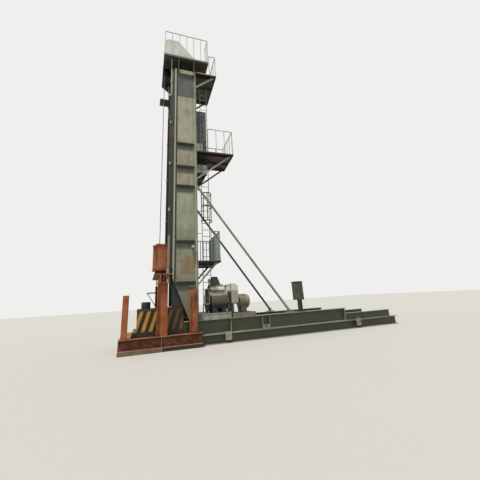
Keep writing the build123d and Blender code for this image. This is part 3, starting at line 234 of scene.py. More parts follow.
# Materials
def enamel(name, shade, light, dark, zones=(), chip="#7C6450", chipped=0.68, rough=0.5, rain=0.4):
    """Machine enamel brushed and sprayed on mill steel, some years outdoors.

    Broad cloudy tone from sun and dust, streaks that rain drew downward, chips down to a brown
    primer, and a fine orange-peel bump. Zones carry shop primer, grime, repainted areas and painted
    light and shade.
    """
    material, tree, place = new_material(name)
    clouds = add(tree, "TexNoise", {"Vector": place, "Scale": per_metre(SUN_PATCH_MM), "Detail": 4.0})
    tone = add(tree, "ValToRGB", {0: (clouds, 0)},
               stops=[(0.3, linear(dark)), (0.5, linear(shade)), (0.72, linear(light))])
    colour = lay_zones(tree, place, (tone, 0), zones)
    across, down = per_metre(STREAK_WIDE_MM), per_metre(STREAK_LONG_MM)
    fall = add(tree, "Mapping", {"Vector": place, "Scale": (across, across, down)})
    streaks = add(tree, "TexNoise", {"Vector": (fall, 0), "Scale": 1.0, "Detail": 5.0, "Roughness": 0.6})
    grime = add(tree, "ValToRGB", {0: (streaks, 0)}, stops=[(0.4, WHITE), (0.78, linear("#A9A492"))])
    colour = (add(tree, "Mix", {0: rain, 6: colour, 7: (grime, 0)},
                  data_type="RGBA", blend_type="MULTIPLY"), 2)
    spots = add(tree, "TexNoise", {"Vector": place, "Scale": per_metre(STAIN_MM), "Detail": 7.0,
                                   "Roughness": 0.7})
    stains = add(tree, "ValToRGB", {0: (spots, 0)}, stops=[(0.34, linear("#C9C2B4")), (0.5, WHITE)])
    colour = (add(tree, "Mix", {0: 0.5, 6: colour, 7: (stains, 0)},
                  data_type="RGBA", blend_type="MULTIPLY"), 2)
    flakes = add(tree, "TexNoise", {"Vector": place, "Scale": per_metre(CHIP_MM), "Detail": 9.0,
                                    "Roughness": 0.68})
    bare = add(tree, "ValToRGB", {0: (flakes, 0)}, stops=[(chipped, BLACK), (chipped + 0.035, WHITE)])
    colour = (add(tree, "Mix", {0: (bare, 0), 6: colour, 7: linear(chip)}, data_type="RGBA"), 2)
    peel = add(tree, "TexNoise", {"Vector": place, "Scale": per_metre(ENAMEL_PEEL_MM), "Detail": 3.0})
    bump = add(tree, "Bump", {"Strength": 0.25, "Distance": 0.002, "Height": (peel, 0)})
    gloss = add(tree, "MapRange", {"Value": (clouds, 0), "To Min": rough - 0.08, "To Max": rough + 0.14})
    close(tree, {"Base Color": colour, "Roughness": (gloss, 0), "Normal": (bump, 0)})
    return material


def rusty(name, shade, light, dark, zones=()):
    """Hot-rolled steel left outdoors: an even brown rust, brighter where worn and dark where it stays wet."""
    material, tree, place = new_material(name)
    clouds = add(tree, "TexNoise", {"Vector": place, "Scale": per_metre(RUST_PATCH_MM), "Detail": 8.0,
                                    "Roughness": 0.62})
    tone = add(tree, "ValToRGB", {0: (clouds, 0)},
               stops=[(0.32, linear(dark)), (0.5, linear(shade)), (0.68, linear(light))])
    colour = lay_zones(tree, place, (tone, 0), zones)
    grain = add(tree, "TexNoise", {"Vector": place, "Scale": per_metre(RUST_GRAIN_MM), "Detail": 4.0})
    speck = add(tree, "ValToRGB", {0: (grain, 0)}, stops=[(0.35, linear("#B08868")), (0.6, WHITE)])
    colour = (add(tree, "Mix", {0: 0.5, 6: colour, 7: (speck, 0)},
                  data_type="RGBA", blend_type="MULTIPLY"), 2)
    bump = add(tree, "Bump", {"Strength": 0.4, "Distance": 0.003, "Height": (grain, 0)})
    close(tree, {"Base Color": colour, "Roughness": 0.85, "Normal": (bump, 0)})
    return material


def striped_enamel(name):
    """Slanted yellow bands brushed over black enamel, dusty, with a painted shadow darkening the part towards
    the tower.
    """
    material, tree, place = new_material(name)
    axes = add(tree, "SeparateXYZ", {0: place})
    lean = add(tree, "Math", {0: (axes, "Z"), 1: -0.3}, operation="MULTIPLY")
    along = add(tree, "Math", {0: (axes, "X"), 1: (lean, 0)}, operation="ADD")
    across = add(tree, "Math", {0: (along, 0), 1: (axes, "Y")}, operation="ADD")
    bands = add(tree, "Math", {0: (across, 0), 1: STRIPE_STEP_MM / 1000}, operation="DIVIDE")
    turn = add(tree, "Math", {0: (bands, 0)}, operation="FRACT")
    yellow = add(tree, "ValToRGB", {0: (turn, 0)},
                 stops=[(0.52, linear("#1E170C")), (0.55, linear("#BE8F2E"))])
    dust = add(tree, "TexNoise", {"Vector": place, "Scale": per_metre(DUST_MM), "Detail": 6.0})
    faded = add(tree, "ValToRGB", {0: (dust, 0)}, stops=[(0.35, BLACK), (0.75, WHITE)])
    colour = add(tree, "Mix", {0: 0.25, 6: (yellow, 0), 7: (faded, 0)},
                 data_type="RGBA", blend_type="SOFT_LIGHT")
    painted_shadow = add(tree, "MapRange", {"Value": (axes, "X"), "From Min": 0.1, "From Max": 0.4, "To Max": 0.7})
    colour = add(tree, "Mix", {0: (painted_shadow, 0), 6: (colour, 2), 7: linear("#2A2213")}, data_type="RGBA")
    lid = add(tree, "MapRange", {"Value": (axes, "Z"), "From Min": 1.325, "From Max": 1.332})
    colour = add(tree, "Mix", {0: (lid, 0), 6: (colour, 2), 7: linear("#3A3822")}, data_type="RGBA")
    close(tree, {"Base Color": (colour, 2), "Roughness": 0.6})
    return material


def ribbed_rubber(name):
    """Moulded fabric-reinforced rubber: near black and dull, with faint ribs left by the cloth."""
    material, tree, place = new_material(name)
    # A wave texture turns 20 radians for each unit of its scale and metre
    ribs = add(tree, "TexWave", {"Vector": place, "Scale": per_metre(BELT_RIB_MM) * 2 * np.pi / 20,
                                 "Distortion": 0.4}, bands_direction="Z")
    tone = add(tree, "ValToRGB", {0: (ribs, 0)}, stops=[(0.0, linear("#1E1E1B")), (1.0, linear("#34342F"))])
    bump = add(tree, "Bump", {"Strength": 0.3, "Distance": 0.002, "Height": (ribs, 0)})
    close(tree, {"Base Color": (tone, 0), "Roughness": 0.7, "Normal": (bump, 0)})
    return material


def turned_steel(name):
    """Lathe-turned steel under a film of oil: bright, with broad darker smears."""
    material, tree, place = new_material(name)
    film = add(tree, "TexNoise", {"Vector": place, "Scale": per_metre(OIL_FILM_MM), "Detail": 5.0})
    tone = add(tree, "ValToRGB", {0: (film, 0)}, stops=[(0.35, linear("#7E7E7C")), (0.7, linear("#B0AEA6"))])
    close(tree, {"Base Color": (tone, 0), "Metallic": 0.9, "Roughness": 0.35})
    return material


def web_faces(distance, half):
    """Spans of Y round a pair of webs that stand that far from the middle plane."""
    return [(side * distance - half, side * distance + half) for side in (-1, 1)]


def web_shade_zones(low, high):
    """The web faces of a beam along X in painted shade: a painted shadow under the top flange, painted light
    towards the lower one.
    """
    zones = []
    for faces in web_faces(LONG_WEB_Y, 0.014):
        zones += [zone("#494C39", Y=faces, Z=(low, high)),
                  zone("#626551", 0.8, soft=0.05, Y=faces, Z=(low - 0.06, low + 0.09)),
                  zone("#1E2112", 0.95, soft=0.03, Y=faces, Z=(high - 0.07, high + 0.04))]
    return zones


def slot_materials(look):
    """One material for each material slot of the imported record."""
    return {
        # Brushed enamel on plate: chalky green with soft cloudy patches
        "tower_paint": enamel("brushed_green_enamel", look.green, "#9CA18C", "#7E8370"),
        # The same enamel near the ground: greyer with dust, its webs in painted shade, near black under the
        # top flange and paler towards the lower one
        "rail_paint": enamel("brushed_dusty_enamel_shaded_webs", "#7C816E", "#8E937F", "#6C715E",
                             web_shade_zones(*RAIL_WEB_Z) + web_shade_zones(*SKID_WEB_Z)),
        # Sprayed enamel on sheet: even, pale and cleaner than the rest
        "hood_cream": enamel("sprayed_cream_enamel", look.cream, "#DEE1DE", "#C0C6B8", chipped=0.76),
        # Sprayed enamel on cast housings: cream, with painted light on the tops and brown painted shade below
        "machine_cream": enamel("sprayed_machine_enamel", "#A5A694", "#BABBAA", "#8C8D7A",
                                [zone("#665A4C", 0.85, soft=0.16, Z=(0, 1.42)),
                                 zone("#BDBEAF", 0.6, facing=UP)],
                                chip="#5A4234", chipped=0.62),
        # Brushed enamel on thin tube: pale bluish green, rarely chipped
        "railing_paint": enamel("brushed_railing_enamel", "#B4BEB8", "#C2CBC6", "#9EA8A0", chipped=0.76),
        # Sprayed enamel on folded sheet: deep green and dull
        "cabinet_green": enamel("sprayed_dark_green_enamel", "#464A39", "#545845", "#383B2D",
                                chip="#5A4A3A", chipped=0.72),
        # Rolled steel soaked with oil: almost black, with brown worn patches
        "dark_steel": enamel("rolled_oily_steel", "#30322A", "#3E3F34", "#22231D",
                             chip="#4A3A2E", chipped=0.64),
        # Hot-dip zinc gone dull: flat grey with a trace of bloom
        "galvanised": enamel("dipped_zinc_coat", "#8E938C", "#A0A59E", "#7A7F78", chipped=0.76),
        # Hot-rolled steel left to rust: orange brown, with a pale patch of old paint on one post
        "rusty_steel": rusty("rolled_steel_rust", look.rust, "#B37046", "#693C22",
                             [zone("#B2B0A6", ragged=0.02, X=(-0.6, -0.09), Y=(1.1, 1.3), Z=(1.2, 2.2))]),
        "stripe_paint": striped_enamel("brushed_stripe_enamel"),
        "belt_rubber": ribbed_rubber("moulded_fabric_rubber"),
        # Sawn timber gone grey: brown with stains, black where the frame shades it
        "sleeper_timber": enamel("sawn_weathered_timber", "#75684F", "#877B62", "#5C503C",
                                 [zone("#1F1B16", 0.9, soft=0.01, X=(0.14, 3.0))], chip="#4A4036"),
        "bare_steel": turned_steel("turned_oiled_steel"),
    }


def wall_zones():
    """The side panels of the tower: primer and rust marks, with painted light on the columns and painted
    shade in the grooves, inside, under the ledges, on faces that look down and where the crown deck casts its
    painted shadow.
    """
    primer = {"soft": 0.05, "Y": NEAR_HALF}
    zones = [
        zone("#ABAB98", 0.75, soft=0.1, ragged=0.1, Z=(8.2, 10.85)),
        zone("#858975", 0.8, soft=0.1, ragged=0.1, Z=(2.05, 4.4)),
        # Painted shade: black on the inner faces of the panels
        zone("#141310", soft=0.001, Y=(-0.9175, 0.9175)),
        # Painted light on the columns, painted shade in the grooves beside them
        zone("#A9AC98", 0.9, X=FRONT_COLUMN_X),
        zone("#34372A", 0.93, soft=0.01, X=FRONT_GROOVE_X, Z=(2.05, 12.6)),
        zone("#84876F", 0.7, soft=0.01, X=REAR_GROOVE_X),
        zone("#A6A995", 0.85, soft=0.01, X=REAR_COLUMN_X),
        # Painted shadow of the crown deck over the top of the panels
        zone("#565755", soft=0.02, ragged=0.02, X=(0.53, 1.358), Z=(10.9, 12.2), Y=(-2, 2)),
        zone("#A08F7E", 0.5, ragged=0.1, X=(0.66, 1.2), Z=(7.3, 7.9), **primer),
        zone("#A08F7E", 0.5, ragged=0.1, X=(0.68, 1.2), Z=(6.3, 6.85), **primer),
    ]
    for low in MARK_LEVELS:
        for way in (-1, 1):
            foot = MARK_X + way * 0.1
            zones.append(zone("#8E5F4C", 0.6, soft=0.012, ragged=0.02, lean=(way * 0.2, low), Y=NEAR_HALF,
                              X=(foot - 0.015, foot + 0.015), Z=(low, low + 0.55)))
    zones += [
        zone("#8E5F4C", 0.6, soft=0.012, ragged=0.03, X=(0.84, 1.02), Y=NEAR_HALF, Z=(7.3, 7.36)),
        zone("#8A6A52", 0.5, ragged=0.14, X=(0.9, 1.25), Z=(9.9, 10.2), **primer),
        zone("#866B48", 0.75, soft=0.06, ragged=0.16, X=(0.8, 1.3), Y=NEAR_HALF, Z=(2.55, 3.25)),
        zone("#7F7F70", 0.85, soft=0.05, ragged=0.03, Z=(0.8, 2.05)),
    ]
    # Painted shadows under the ledges, darkest right under each ledge
    zones += [zone("#595C4A", 0.95, soft=0.06, X=(0.585, 1.3), Z=(level - 0.34, level + 0.02))
              for level in LEDGE_LEVELS]
    zones += [zone("#282A1E", 0.95, soft=0.04, X=(0.585, 1.32), Z=(level - 0.13, level + 0.02))
              for level in LEDGE_LEVELS]
    # Painted shade on the faces that look down
    return zones + [zone("#3A3D30", 0.9, facing=DOWN)]


def tower_finishes():
    """Finishes of the tower's nodes and of the crown."""
    wall = enamel("brushed_wall_enamel", "#9DA08D", "#AAAA98", "#8C917E", wall_zones(), rain=0.5)
    # Painted shade on the pipes' faces above and below their lit stretch
    pipe_shade_bands = [zone("#2E2A25", 0.95, Y=faces, Z=span)
                  for faces in web_faces(0.93, 0.03) for span in ((2.5, 2.86), (4.1, 10.9))]
    pipe_rust = [zone("#5A3320", 0.8, soft=0.02, ragged=0.08, X=(0.36, 0.6), Z=(low, low + 0.35))
                 for low in (7.3, 8.7, 11.3)]
    return {
        # Brushed enamel in the sun and rain: pale, streaked, with primer showing in patches, and painted
        # light and shade on its columns, grooves, ledges and top
        "tower_side_near": wall,
        "tower_side_far": wall,
        # Brushed enamel on the back sheet: plainer, with painted shade black on its inner face
        "tower_rear_wall": enamel("brushed_rear_enamel", "#858A77", "#929784", "#747865",
                                  [zone("#141310", soft=0.0005, X=(1.38, 1.4015))]),
        # Rolled steel painted near black for the shade in the dark of the shaft
        "tower_front_ties": enamel("rolled_ties_painted_shade", "#211E19", "#2E2A22", "#161410",
                                   chip="#4A3022", chipped=0.6),
        "counterweight_box": enamel("rolled_weight_painted_shade", "#1B1A16", "#262419", "#121110"),
        # Brushed enamel on the foot gussets in painted shade: flat dark grey, with painted light on the face
        # that looks forward
        "tower_foot_plates": enamel("brushed_foot_plate_painted_shade", "#474846", "#555653", "#383937",
                                    [zone("#83877A", facing=FORWARD)]),
        # Dipped zinc on pipe: light grey, warm grey where it stands in the light; painted shade black where
        # it and the parts behind it lie in the dark of the tower's front, dark green next to the column; rust
        # at the collars
        "front_guide_pipes": enamel(
            "dipped_pipe_zinc", "#A4A899", "#B6BAAC", "#8A8E7E",
            [zone("#171614", X=(0.337, 0.6)), zone("#5C604D", X=(0.432, 0.6)), *pipe_shade_bands,
             zone("#8A816E", 0.9, soft=0.03, X=(0.2, 0.337), Z=(2.86, 4.1)), *pipe_rust]),
        # Brushed enamel on the deck: grimy on top; painted shade below, dark brown, black under the front and
        # round the belt slot, dark olive over the tower
        "crown_deck": enamel("brushed_deck_enamel", "#55584A", "#636656", "#45483B", [
            zone("#3F3226", facing=DOWN),
            zone("#151710", soft=0.03, facing=DOWN, X=(-1, 0.46), Y=(-0.8, 2)),
            zone("#0B0B09", soft=0.03, facing=DOWN, X=(-1, 0.46), Y=(-0.36, 2)),
            zone("#2E2B1D", soft=0.02, facing=DOWN, X=(0.46, 1.34), Y=(-0.93, 2))]),
        # Brushed enamel in painted shade: very dark green
        "belt_guide_frame": enamel("brushed_guide_enamel_painted_shade", "#30341F", "#3C402C", "#262A1A"),
        # Sprayed enamel on sheet: mid grey as the upper platform's painted shadow, pale bands of painted
        # light, black painted shade
        "rear_housing": enamel("sprayed_housing_light_and_shade", "#686966", "#757672", "#5A5B58", [
            # Painted light on the back edge and low on the near face, then painted shade under the platforms
            # and on the front face
            zone("#7E858A", 0.8, soft=0.03, ragged=0.05, X=(1.95, 2.2), Z=(9.3, 11.1)),
            zone("#E8EADC", soft=0.02, X=(1.4, 1.95), Z=(8.72, 9.15)),
            zone("#0C0C0B", soft=0.02, Z=(8.02, 8.72)),
            zone("#E6E7DE", soft=0.02, Z=(7.52, 7.96)),
            zone("#0D0D0C", Z=(5, 7.49)),
            zone("#1C1D18", 0.8, facing=FORWARD)]),
    }


def access_finishes():
    """Finishes of the platforms, ladder, low railing and braces."""
    # Painted shade under the platforms: dark brown to black
    under = {
        "upper_platform": [zone("#2C2819", facing=DOWN),
                           zone("#211B13", soft=0.05, facing=DOWN, Y=(-2, -0.6)),
                           zone("#3A2C20", 0.7, soft=0.1, ragged=0.2, facing=DOWN, Y=FAR_HALF)],
        "middle_platform": [zone("#2C180B", facing=DOWN),
                            zone("#25251A", soft=0.1, ragged=0.1, facing=DOWN, X=(2.8, 4)),
                            zone("#0A0908", soft=0.02, facing=DOWN, X=(1, 2.09))],
        "low_platform": [zone("#0D0D0C", facing=DOWN)],
    }
    # Painted shade on the faces of the joists
    joists = [zone("#0F0E0A", soft=0.002, facing=BACKWARD), zone("#1A1610", 0.9, facing=FORWARD)]
    finish = {}
    for name, zones in under.items():
        # Brushed enamel: grey-green plate on top, painted shade under it, down its edges and on the joists
        plate = zone(zones[0]["paint"], soft=0.002, Z=(0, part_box(name)[1].z - 0.02))
        finish[name] = enamel("brushed_enamel_" + name, "#878B79", "#969A88", "#75796A",
                              [plate, *zones, *joists])
        # Brushed enamel on the struts: green near the camera, dark on the shaded side
        finish[name + "_struts"] = enamel("brushed_enamel_" + name + "_struts", "#8E917F", "#9CA08E",
                                          "#7A7D6C", [zone("#24251C", Y=FAR_HALF)])
    # Brushed enamel on bar and tube: darker low down, the ladder lighter above the middle platform
    finish["low_platform_railing"] = enamel("brushed_low_rail_enamel", "#7F8A84", "#8F9A94", "#6F7A74",
                                            chipped=0.74)
    finish["ladder"] = enamel("brushed_ladder_enamel", "#59625D", "#687069", "#4A524D",
                              [zone("#A9B3AD", 0.9, soft=0.2, Z=(8.0, 15.0))])
    finish["ladder_cage"] = enamel("brushed_cage_enamel", "#4A5350", "#5A625E", "#3C4442")
    # Brushed enamel on pipe: warm grey, the far brace in shade
    finish["braces"] = enamel("brushed_brace_enamel", "#8C8E82", "#9C9E92", "#76786C",
                              [zone("#54564C", 0.9, Y=FAR_HALF)])
    return finish


def drive_finishes():
    """Finishes of the skid and of the machines on it."""
    finish = {}
    for name in ("skid_beam_near", "skid_beam_far"):
        # Brushed enamel on rolled beam: light flanges over webs in painted shade
        finish[name] = enamel("brushed_enamel_" + name, "#838774", "#949885", "#717663",
                              web_shade_zones(*SKID_WEB_Z))
    finish.update({
        # Cast iron under oil: brown black
        "drive_ring": enamel("cast_oily_iron", "#2C2A28", "#3A3835", "#1E1D1B"),
        # Sprayed enamel on cast housings: beige or cream above, brown and black painted shade below
        "brake_motor": enamel("sprayed_beige_enamel", "#8C8474", "#9C9484", "#766E60",
                              [zone("#4A4238", 0.8, soft=0.12, Z=(0, 1.3))], chip="#4A3A30"),
        "drive_motor": enamel("sprayed_motor_enamel", "#B9BCA9", "#C8CBB8", "#A2A592",
                              [zone("#4C3E30", 0.95, soft=0.06, Z=(1.3, 1.77)),
                               zone("#11100E", 0.95, soft=0.06, Z=(0, 1.43))],
                              chip="#5A4234", chipped=0.66),
        # Sprayed enamel on sheet covers: painted light on the motor cover and the guard's top, painted shade
        # on the faces that look forward and under the guard
        "motor_cover": enamel("sprayed_cover_enamel", "#83866F", "#969983", "#6C6F5A",
                              [zone("#D8DBC8", 0.9, soft=0.08, X=(2.22, 2.7)),
                               zone("#54574A", 0.8, facing=FORWARD)]),
        "belt_guard": enamel("sprayed_guard_enamel", "#A3A693", "#B0B3A0", "#94977F",
                             [zone("#D4D7C4", 0.9, soft=0.05, Z=(1.9, 3)),
                              zone("#6E715E", 0.9, facing=FORWARD),
                              zone("#1A1A18", 0.9, soft=0.03, Z=(0, 1.42))]),
        # Brushed enamel on plate bases: grey; the drive base in painted shade, black on top under the
        # machines and darker beside the tower
        "motor_base": enamel("brushed_motor_base_enamel", "#6E7064", "#7C7E72", "#5C5E54"),
        "drive_base": enamel("brushed_drive_base_enamel", "#96968F", "#A4A49E", "#84847C",
                             [zone("#34342E", 0.6, soft=0.02, X=(1.3, 1.56)),
                              zone("#20201C", 0.9, facing=UP)]),
        "lever_frame": enamel("brushed_lever_enamel", "#8C8072", "#9A8E80", "#786C5E"),
        # Rolled plate: dull and dark, grey brown on the tray
        "box_tray": enamel("rolled_dark_tray", "#30241B", "#3D2F26", "#1E150E",
                           chip="#5A3A2A", chipped=0.62),
        "skid_deck_plates": enamel("rolled_deck_plate", "#56564C", "#646459", "#44443C"),
        "skid_cross_members": enamel("rolled_cross_member", "#4A4C40", "#585A4D", "#3A3C32"),
    })
    return finish


def frame_finishes():
    """Finishes of the load-test frame and its hanging block."""
    webs = web_faces(BASE_WEB_Y, 0.012)
    return {
        # Rolled steel rusted in the open: bright orange brown, painted shade on the faces that look forward,
        # darker at its foot
        "hanging_block": rusty("rolled_block_rust", "#D69264", "#E4A67A", "#B47046",
                               [zone("#50342A", facing=FORWARD),
                                zone("#5A3826", 0.5, soft=0.05, Z=(2.8, 2.95))]),
        # Rolled beams rusted on the ground: brown flanges, webs in painted shade, darkest under the top
        # flange
        "frame_base_beams": rusty(
            "rolled_beam_rust", "#9A6A50", "#AA7C64", "#744630",
            [zone("#522B10", 0.95, soft=0.01, ragged=0.01, Y=faces, Z=(0.15, 0.46)) for faces in webs]
            + [zone("#38170B", 0.9, soft=0.04, Y=faces, Z=(0.38, 0.5)) for faces in webs]),
        # Cut plate, rusted: dark brown as painted shade under the head beam
        "hanger_links": rusty("cut_plate_rust", "#4E2E1C", "#5E3A26", "#382014"),
    }


def node_materials():
    """Finishes of single nodes that differ from their slot's: grime, primer, repainted areas, and painted
    light and shade.
    """
    return {**tower_finishes(), **access_finishes(), **drive_finishes(), **frame_finishes()}


# Shapes
def grid_faces(rows, columns, wrap):
    """Quads of a grid: the point of row r and column c is number r * columns + c; wrap closes each row."""
    last = columns if wrap else columns - 1
    row, column = np.meshgrid(np.arange(rows - 1), np.arange(last), indexing="ij")
    start = row * columns + column
    beside = row * columns + (column + 1) % columns
    return np.stack([start, beside, beside + columns, start + columns], -1).reshape(-1, 4)


def fill_mesh(mesh, points, quads):
    """Write points and quads into a mesh in one pass."""
    mesh.vertices.add(len(points))
    mesh.vertices.foreach_set("co", np.ascontiguousarray(points, np.float32).ravel())
    mesh.loops.add(quads.size)
    mesh.loops.foreach_set("vertex_index", quads.astype(np.int32).ravel())
    mesh.polygons.add(len(quads))
    mesh.polygons.foreach_set("loop_start", np.arange(0, quads.size, 4, dtype=np.int32))
    mesh.update(calc_edges=True)
    mesh.validate()


def build(name, grids, material, smooth=False):
    """A piece from grids of points, each (array of rows x columns x 3, wrap), welded into one mesh."""
    points, quads, count = [], [], 0
    for grid, wrap in grids:
        rows, columns = grid.shape[:2]
        points.append(grid.reshape(-1, 3))
        quads.append(grid_faces(rows, columns, wrap) + count)
        count += rows * columns
    mesh = bpy.data.meshes.new(name)
    fill_mesh(mesh, np.concatenate(points), np.concatenate(quads))
    if smooth:
        mesh.shade_smooth()
    mesh.materials.append(material)
    piece = bpy.data.objects.new(name, mesh)
    bpy.context.scene.collection.objects.link(piece)
    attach(piece, "root")
    return piece


def axes_of(direction):
    """Three unit axes whose third is the direction."""
    third = np.array(direction, float) / np.linalg.norm(direction)
    helper = (0, 0, 1) if abs(third[2]) < 0.9 else (1, 0, 0)
    first = np.cross(helper, third)
    first = first / np.linalg.norm(first)
    return first, np.cross(third, first), third


def turned_grid(profile, base, direction, sides):
    """A surface of revolution: base + r cos(a) u + r sin(a) v + h w, for each (r, h) of the profile."""
    first, second, third = axes_of(direction)
    radius, height = np.array(profile, float).T
    angle = np.arange(sides) * 2 * np.pi / sides
    ring = np.cos(angle)[:, None] * first + np.sin(angle)[:, None] * second
    return np.array(base) + radius[:, None, None] * ring + height[:, None, None] * third, True


def swept_grid(path, wide, thick, up):
    """A flat bar along a path: a chamfered rectangle, wide across the path and thick along up."""
    path = np.array(path, float)
    ahead = np.gradient(path, axis=0)
    ahead /= np.linalg.norm(ahead, axis=1, keepdims=True)
    rise = np.array(up, float) - (ahead @ np.array(up, float))[:, None] * ahead
    rise /= np.linalg.norm(rise, axis=1, keepdims=True)
    side = np.cross(ahead, rise)
    cut = min(wide, thick) * 0.2
    across = np.array([-1, -1, -1, 1, 1, 1, 1, -1]) * wide / 2 + np.array([0, 0, 1, -1, 0, 0, -1, 1]) * cut
    over = np.array([-1, 1, 1, 1, 1, -1, -1, -1]) * thick / 2 + np.array([1, -1, 0, 0, -1, 1, 0, 0]) * cut
    return path[:, None] + across[:, None] * side[:, None] + over[:, None] * rise[:, None], True


def bead_grid(start, end, radius, ripple=0.012):
    """A weld bead: a tube along a line, with radius r (1 + 0.2 sin(2 pi s / ripple)) at s metres."""
    start, end = np.array(start, float), np.array(end, float)
    length = np.linalg.norm(end - start)
    steps = int(np.clip(length / ripple * 4, 8, 400))
    share = np.linspace(0, 1, steps)
    first, second, _ = axes_of(end - start)
    swell = radius * (1 + 0.2 * np.sin(2 * np.pi * share * length / ripple))
    angle = np.arange(6) * np.pi / 3
    ring = np.cos(angle)[:, None] * first + np.sin(angle)[:, None] * second
    return (start + share[:, None] * (end - start))[:, None] + swell[:, None, None] * ring, True


def bolt_grids(places, direction, radius):
    """Hexagon heads on washers: a profile of flat, chamfer and top turned in 6 sides, its washer in 18."""
    washer = [(0.0, 0.0), (1.45 * radius, 0.0), (1.45 * radius, 0.25 * radius), (0.0, 0.25 * radius)]
    head = [(radius, 0.2 * radius), (radius, 0.85 * radius), (0.86 * radius, radius), (0.0, radius)]
    grids = []
    for place in places:
        grids.append(turned_grid(washer, place, direction, 18))
        grids.append(turned_grid(head, place, direction, 6))
    return grids


# Settings and steps
class UNIT_PG_finish(bpy.types.PropertyGroup):
    """Colours, light and bolt size of the unit."""

    green: bpy.props.FloatVectorProperty(
        name="Green", description="Colour of the brushed enamel on the tower", size=4, subtype="COLOR",
        default=linear("#8F947F"), min=0.0, max=1.0)
    cream: bpy.props.FloatVectorProperty(
        name="Cream", description="Colour of the sprayed enamel on the hood", size=4, subtype="COLOR",
        default=linear("#D4D7D2"), min=0.0, max=1.0)
    rust: bpy.props.FloatVectorProperty(
        name="Rust", description="Colour of the rusted steel of the test frame", size=4, subtype="COLOR",
        default=linear("#9C5C34"), min=0.0, max=1.0)
    floor_colour: bpy.props.FloatVectorProperty(
        name="Floor colour", description="Colour of the studio floor", size=4, subtype="COLOR",
        default=linear("#BBBBBA"), min=0.0, max=1.0)
    sun_strength: bpy.props.FloatProperty(
        name="Sun", description="Strength of the soft key lamp", default=3.3, min=0.0)
    fill_strength: bpy.props.FloatProperty(
        name="Fill", description="Strength of the light from all round", default=0.6, min=0.0)
    floor_side: bpy.props.FloatProperty(
        name="Floor", description="Side of the studio floor", default=160.0, unit="LENGTH")
    bolt_size: bpy.props.FloatProperty(
        name="Bolt", description="Radius of the hexagon heads", default=0.018, min=0.004, unit="LENGTH")


class UNIT_OT_finishes(bpy.types.Operator):
    """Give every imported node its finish"""

    bl_idname = "unit.finishes"
    bl_label = "Paint the steelwork"

    def execute(self, context):
        by_slot = slot_materials(context.scene.unit_finish)
        by_node = node_materials()
        for part in frame["record"]["subparts"]:
            mesh = frame["nodes"][part["node"]].data
            mesh.materials.clear()
            mesh.materials.append(by_node.get(part["node"], by_slot[part["material_slot"]]))
        return {"FINISHED"}


class UNIT_OT_bolts(bpy.types.Operator):
    """Add the head plate's nuts and rods, the brace feet's bolts and pins, and the ring and clamp bolts"""

    bl_idname = "unit.bolts"
    bl_label = "Add the bolts"

    def execute(self, context):
        size = context.scene.unit_finish.bolt_size
        zinc = bpy.data.materials["dipped_zinc_coat"]
        rust = bpy.data.materials["rolled_steel_rust"]
        # Zinc on rolled threads, stained by the rust above: pinkish grey
        stained = rusty("dipped_zinc_rust_stained", "#A88E88", "#C4ACA6", "#7E6059")
        nuts = bolt_grids(self.head_plate_places(), (0, 0, 1), 1.5 * size)
        foot_bolts = bolt_grids(self.foot_corner_places(0.03), (0, 0, 1), size)
        build("head_plate_nuts", nuts, rust)
        build("brace_foot_bolts", foot_bolts, zinc)
        build("brace_pins", self.brace_pin_grids(size), zinc)
        build("ring_bolts", bolt_grids(self.ring_places(), (-1, 0, 0), size), zinc)
        build("clamp_bolts", self.clamp_grids(size), zinc)
        build("head_tie_rods", self.tie_rod_grids(0.7 * size), stained)
        return {"FINISHED"}

    def head_plate_places(self):
        """Two nuts on each side of the web over both centre columns."""
        low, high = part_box("frame_cross_head")
        shares = ((0.28, 0.045), (0.28, 0.115), (0.72, 0.045), (0.72, 0.115))
        return [(low.x + along * (high.x - low.x), low.y + across * (high.y - low.y), high.z)
                for along, aside in shares for across in (aside, 1 - aside)]

    def foot_corner_places(self, inset):
        """The corners of both base plates of the brace feet, drawn in by inset."""
        low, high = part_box("brace_feet")
        z = low.z + FOOT_THICK
        places = []
        for y0 in (low.y, high.y - FOOT_WIDE):
            for x in (low.x + inset, high.x - inset):
                places += [(x, y0 + inset, z), (x, y0 + FOOT_WIDE - inset, z)]
        return places

    def brace_pin_grids(self, size):
        """The pin heads on the outer ears of the brace feet."""
        low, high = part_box("brace_feet")
        x = low.x + PIN_AHEAD
        z = low.z + PIN_HIGH
        grids = []
        for y, way in ((low.y + 0.006, -1), (high.y - 0.006, 1)):
            grids += bolt_grids([(x, y, z)], (0, way, 0), 1.8 * size)
        return grids

    def tie_rod_grids(self, rod_radius):
        """Threaded rods from the column caps to the head plate: the radius drops a tenth at each thread."""
        low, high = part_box("frame_cross_head")
        length = high.z - HEAD_PLATE - low.z
        turns = int(length / THREAD_PITCH)
        height = np.linspace(0.001, length, 2 * turns)
        radius = rod_radius * (1 - 0.1 * (np.arange(2 * turns) % 2))
        profile = np.stack([radius, height], -1)
        middle = (low.x + high.x) / 2
        return [turned_grid(profile, (middle + aside, way * (high.y - 0.02), low.z), (0, 0, 1), 10)
                for way in (-1, 1) for aside in ROD_OFFSETS]

    def ring_places(self):
        """Eight bolts on a circle on the brake ring's front face: y + r cos(a), z + r sin(a)."""
        low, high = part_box("drive_ring")
        angle = (np.arange(8) + 0.5) * np.pi / 4
        ys = (low.y + high.y) / 2 + RING_BOLT_RADIUS * np.cos(angle)
        zs = (low.z + high.z) / 2 + RING_BOLT_RADIUS * np.sin(angle)
        return [(low.x, y, z) for y, z in zip(ys, zs)]

    def clamp_grids(self, size):
        """Two bolt heads on the face of each rail clamp."""
        low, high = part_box("rail_clamps")
        grids = []
        for x0 in (low.x, high.x - CLAMP_LONG):
            for y, way in ((low.y, -1), (high.y, 1)):
                pair = [(x0 + share * CLAMP_LONG, y, CLAMP_BOLT_Z) for share in (0.25, 0.75)]
                grids += bolt_grids(pair, (0, way, 0), size)
        return grids


